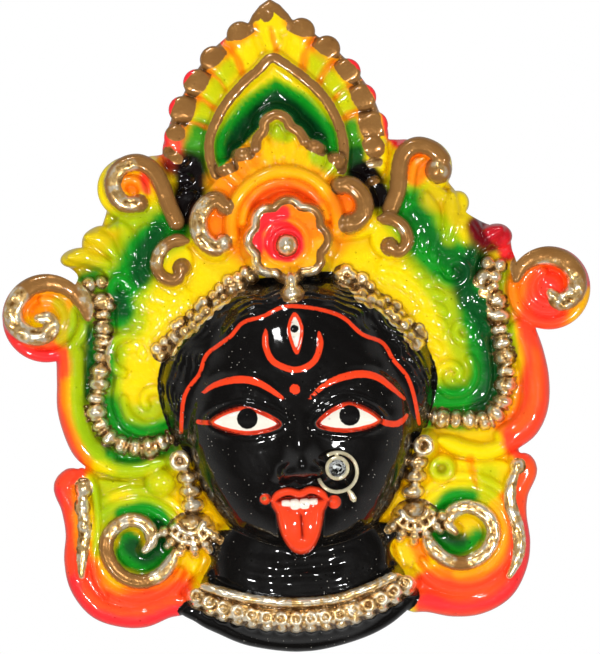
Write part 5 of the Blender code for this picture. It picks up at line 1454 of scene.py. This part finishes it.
def rawPlaster():
    # Bare cast plaster, as it leaves the mould's open back: chalky, pale and a little stained.
    material, tree, shader = newMaterial("raw_cast_plaster")
    place = addNode(tree, "ShaderNodeTexCoord").outputs["Object"]
    stain = addNode(tree, "ShaderNodeTexNoise", Vector=place, Scale=22.0, Detail=6.0).outputs["Fac"]
    mix = addNode(tree, "ShaderNodeMix", ofColour, i0=stain, i6=hexColour("#d9d2c4"),
                  i7=hexColour("#efeade"))
    tree.links.new(mix.outputs[2], shader.inputs["Base Color"])
    shader.inputs["Roughness"].default_value = 0.9
    grit = addNode(tree, "ShaderNodeTexNoise", Vector=place, Scale=700.0, Detail=3.0).outputs["Fac"]
    bumped = addNode(tree, "ShaderNodeBump", Height=grit, Strength=0.5, Distance=0.0008)
    tree.links.new(bumped.outputs[0], shader.inputs["Normal"])
    return material


print("materials")
casting.data.materials.append(enamelOnPlaster())
casting.data.materials.append(rawPlaster())
# faces within 0.9 mm of the wall are bare plaster, as the mould left them
triangleSlots = np.zeros(len(casting.data.polygons), np.int32)
centres = np.empty(len(casting.data.polygons) * 3, np.float32)
casting.data.polygons.foreach_get("center", centres)
triangleSlots[centres.reshape(-1, 3)[:, 1] > -0.0009] = 1
casting.data.polygons.foreach_set("material_index", triangleSlots)
repaint("nose_ring", polishedBrass())
repaint("nose_stone", cutGlass())
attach(casting, "root")
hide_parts("plaque")


def makeStage():
    mesh = bpy.data.meshes.new("pale_floor")
    half, level = 1.2, -0.45    # metres
    corners = [(-half, -half, level), (half, -half, level), (half, half, level), (-half, half, level)]
    mesh.from_pydata(corners, [], [(0, 1, 2, 3)])
    floor = bpy.data.objects.new("pale_floor", mesh)
    bpy.context.scene.collection.objects.link(floor)
    material, tree, shader = newMaterial("matt_paper")
    shader.inputs["Base Color"].default_value = hexColour("#f2f1ee")
    shader.inputs["Roughness"].default_value = 0.9
    mesh.materials.append(material)
    floor.visible_glossy = False


lamps = {
    "lowLeft": {"place": (-0.42, -1.25, -0.38), "size": 0.13, "power": 6.4},
    "lowRight": {"place": (0.50, -1.25, -0.30), "size": 0.13, "power": 6.4},
    "high": {"place": (-0.30, -1.00, 1.00), "size": 0.20, "power": 4.2},
}
surround = {"seen": 1.0, "front": 0.03, "sides": 0.42, "diffuse": 0.42}


def makeLights():
    # A white backdrop for the camera. In reflections it is dim in front and bright at the sides, so that the
    # flat gloss shows the lamps alone and each bead of gold has its bright rim.
    world = bpy.data.worlds.new("studio")
    bpy.context.scene.world = world
    world.use_nodes = True
    tree = world.node_tree
    ground = tree.nodes["Background"]
    ground.inputs["Color"].default_value = (1, 1, 1, 1)
    ray = addNode(tree, "ShaderNodeLightPath")
    way = addNode(tree, "ShaderNodeTexCoord").outputs["Generated"]
    depth = addNode(tree, "ShaderNodeSeparateXYZ", Vector=way).outputs["Y"]
    mirrored = addNode(tree, "ShaderNodeMapRange", smoothStep, Value=depth, From_Min=-0.45,
                       From_Max=0.15, To_Min=surround["front"], To_Max=surround["sides"]).outputs[0]
    gloss = addNode(tree, "ShaderNodeMix", i0=ray.outputs["Is Glossy Ray"], i2=surround["diffuse"], i3=mirrored)
    power = addNode(tree, "ShaderNodeMix", i0=ray.outputs["Is Camera Ray"], i2=gloss.outputs[0],
                    i3=surround["seen"])
    tree.links.new(power.outputs[0], ground.inputs["Strength"])
    for name, lamp in lamps.items():
        light = bpy.data.lights.new(name, "AREA")
        light.shape = "DISK"
        light.size = lamp["size"]
        light.energy = lamp["power"]
        thing = bpy.data.objects.new(name, light)
        thing.location = lamp["place"]
        thing.rotation_euler = (-Vector(lamp["place"])).to_track_quat("-Z", "Y").to_euler()
        bpy.context.scene.collection.objects.link(thing)


# The plaque hangs a little askew in the view: the camera rolls by the photograph's own tilt.
view = {"distance": 2.4, "centre": (5.8, 1.2), "heightShown": 327.0, "roll": 3.3}


def makeCamera():
    lens = bpy.data.cameras.new("camera")
    camera = bpy.data.objects.new("camera", lens)
    bpy.context.scene.collection.objects.link(camera)
    lens.sensor_fit = "VERTICAL"
    lens.sensor_height = 24.0
    lens.lens = 24.0 * view["distance"] / (view["heightShown"] * mm)
    x, z = view["centre"]
    aim = Matrix.Rotation(math.radians(90), 4, "X") @ Matrix.Rotation(math.radians(-view["roll"]), 4, "Z")
    camera.matrix_world = Matrix.Translation((x * mm, -view["distance"], z * mm)) @ aim
    bpy.context.scene.camera = camera


makeStage()
makeLights()
makeCamera()
bpy.context.scene.view_settings.view_transform = "Standard"
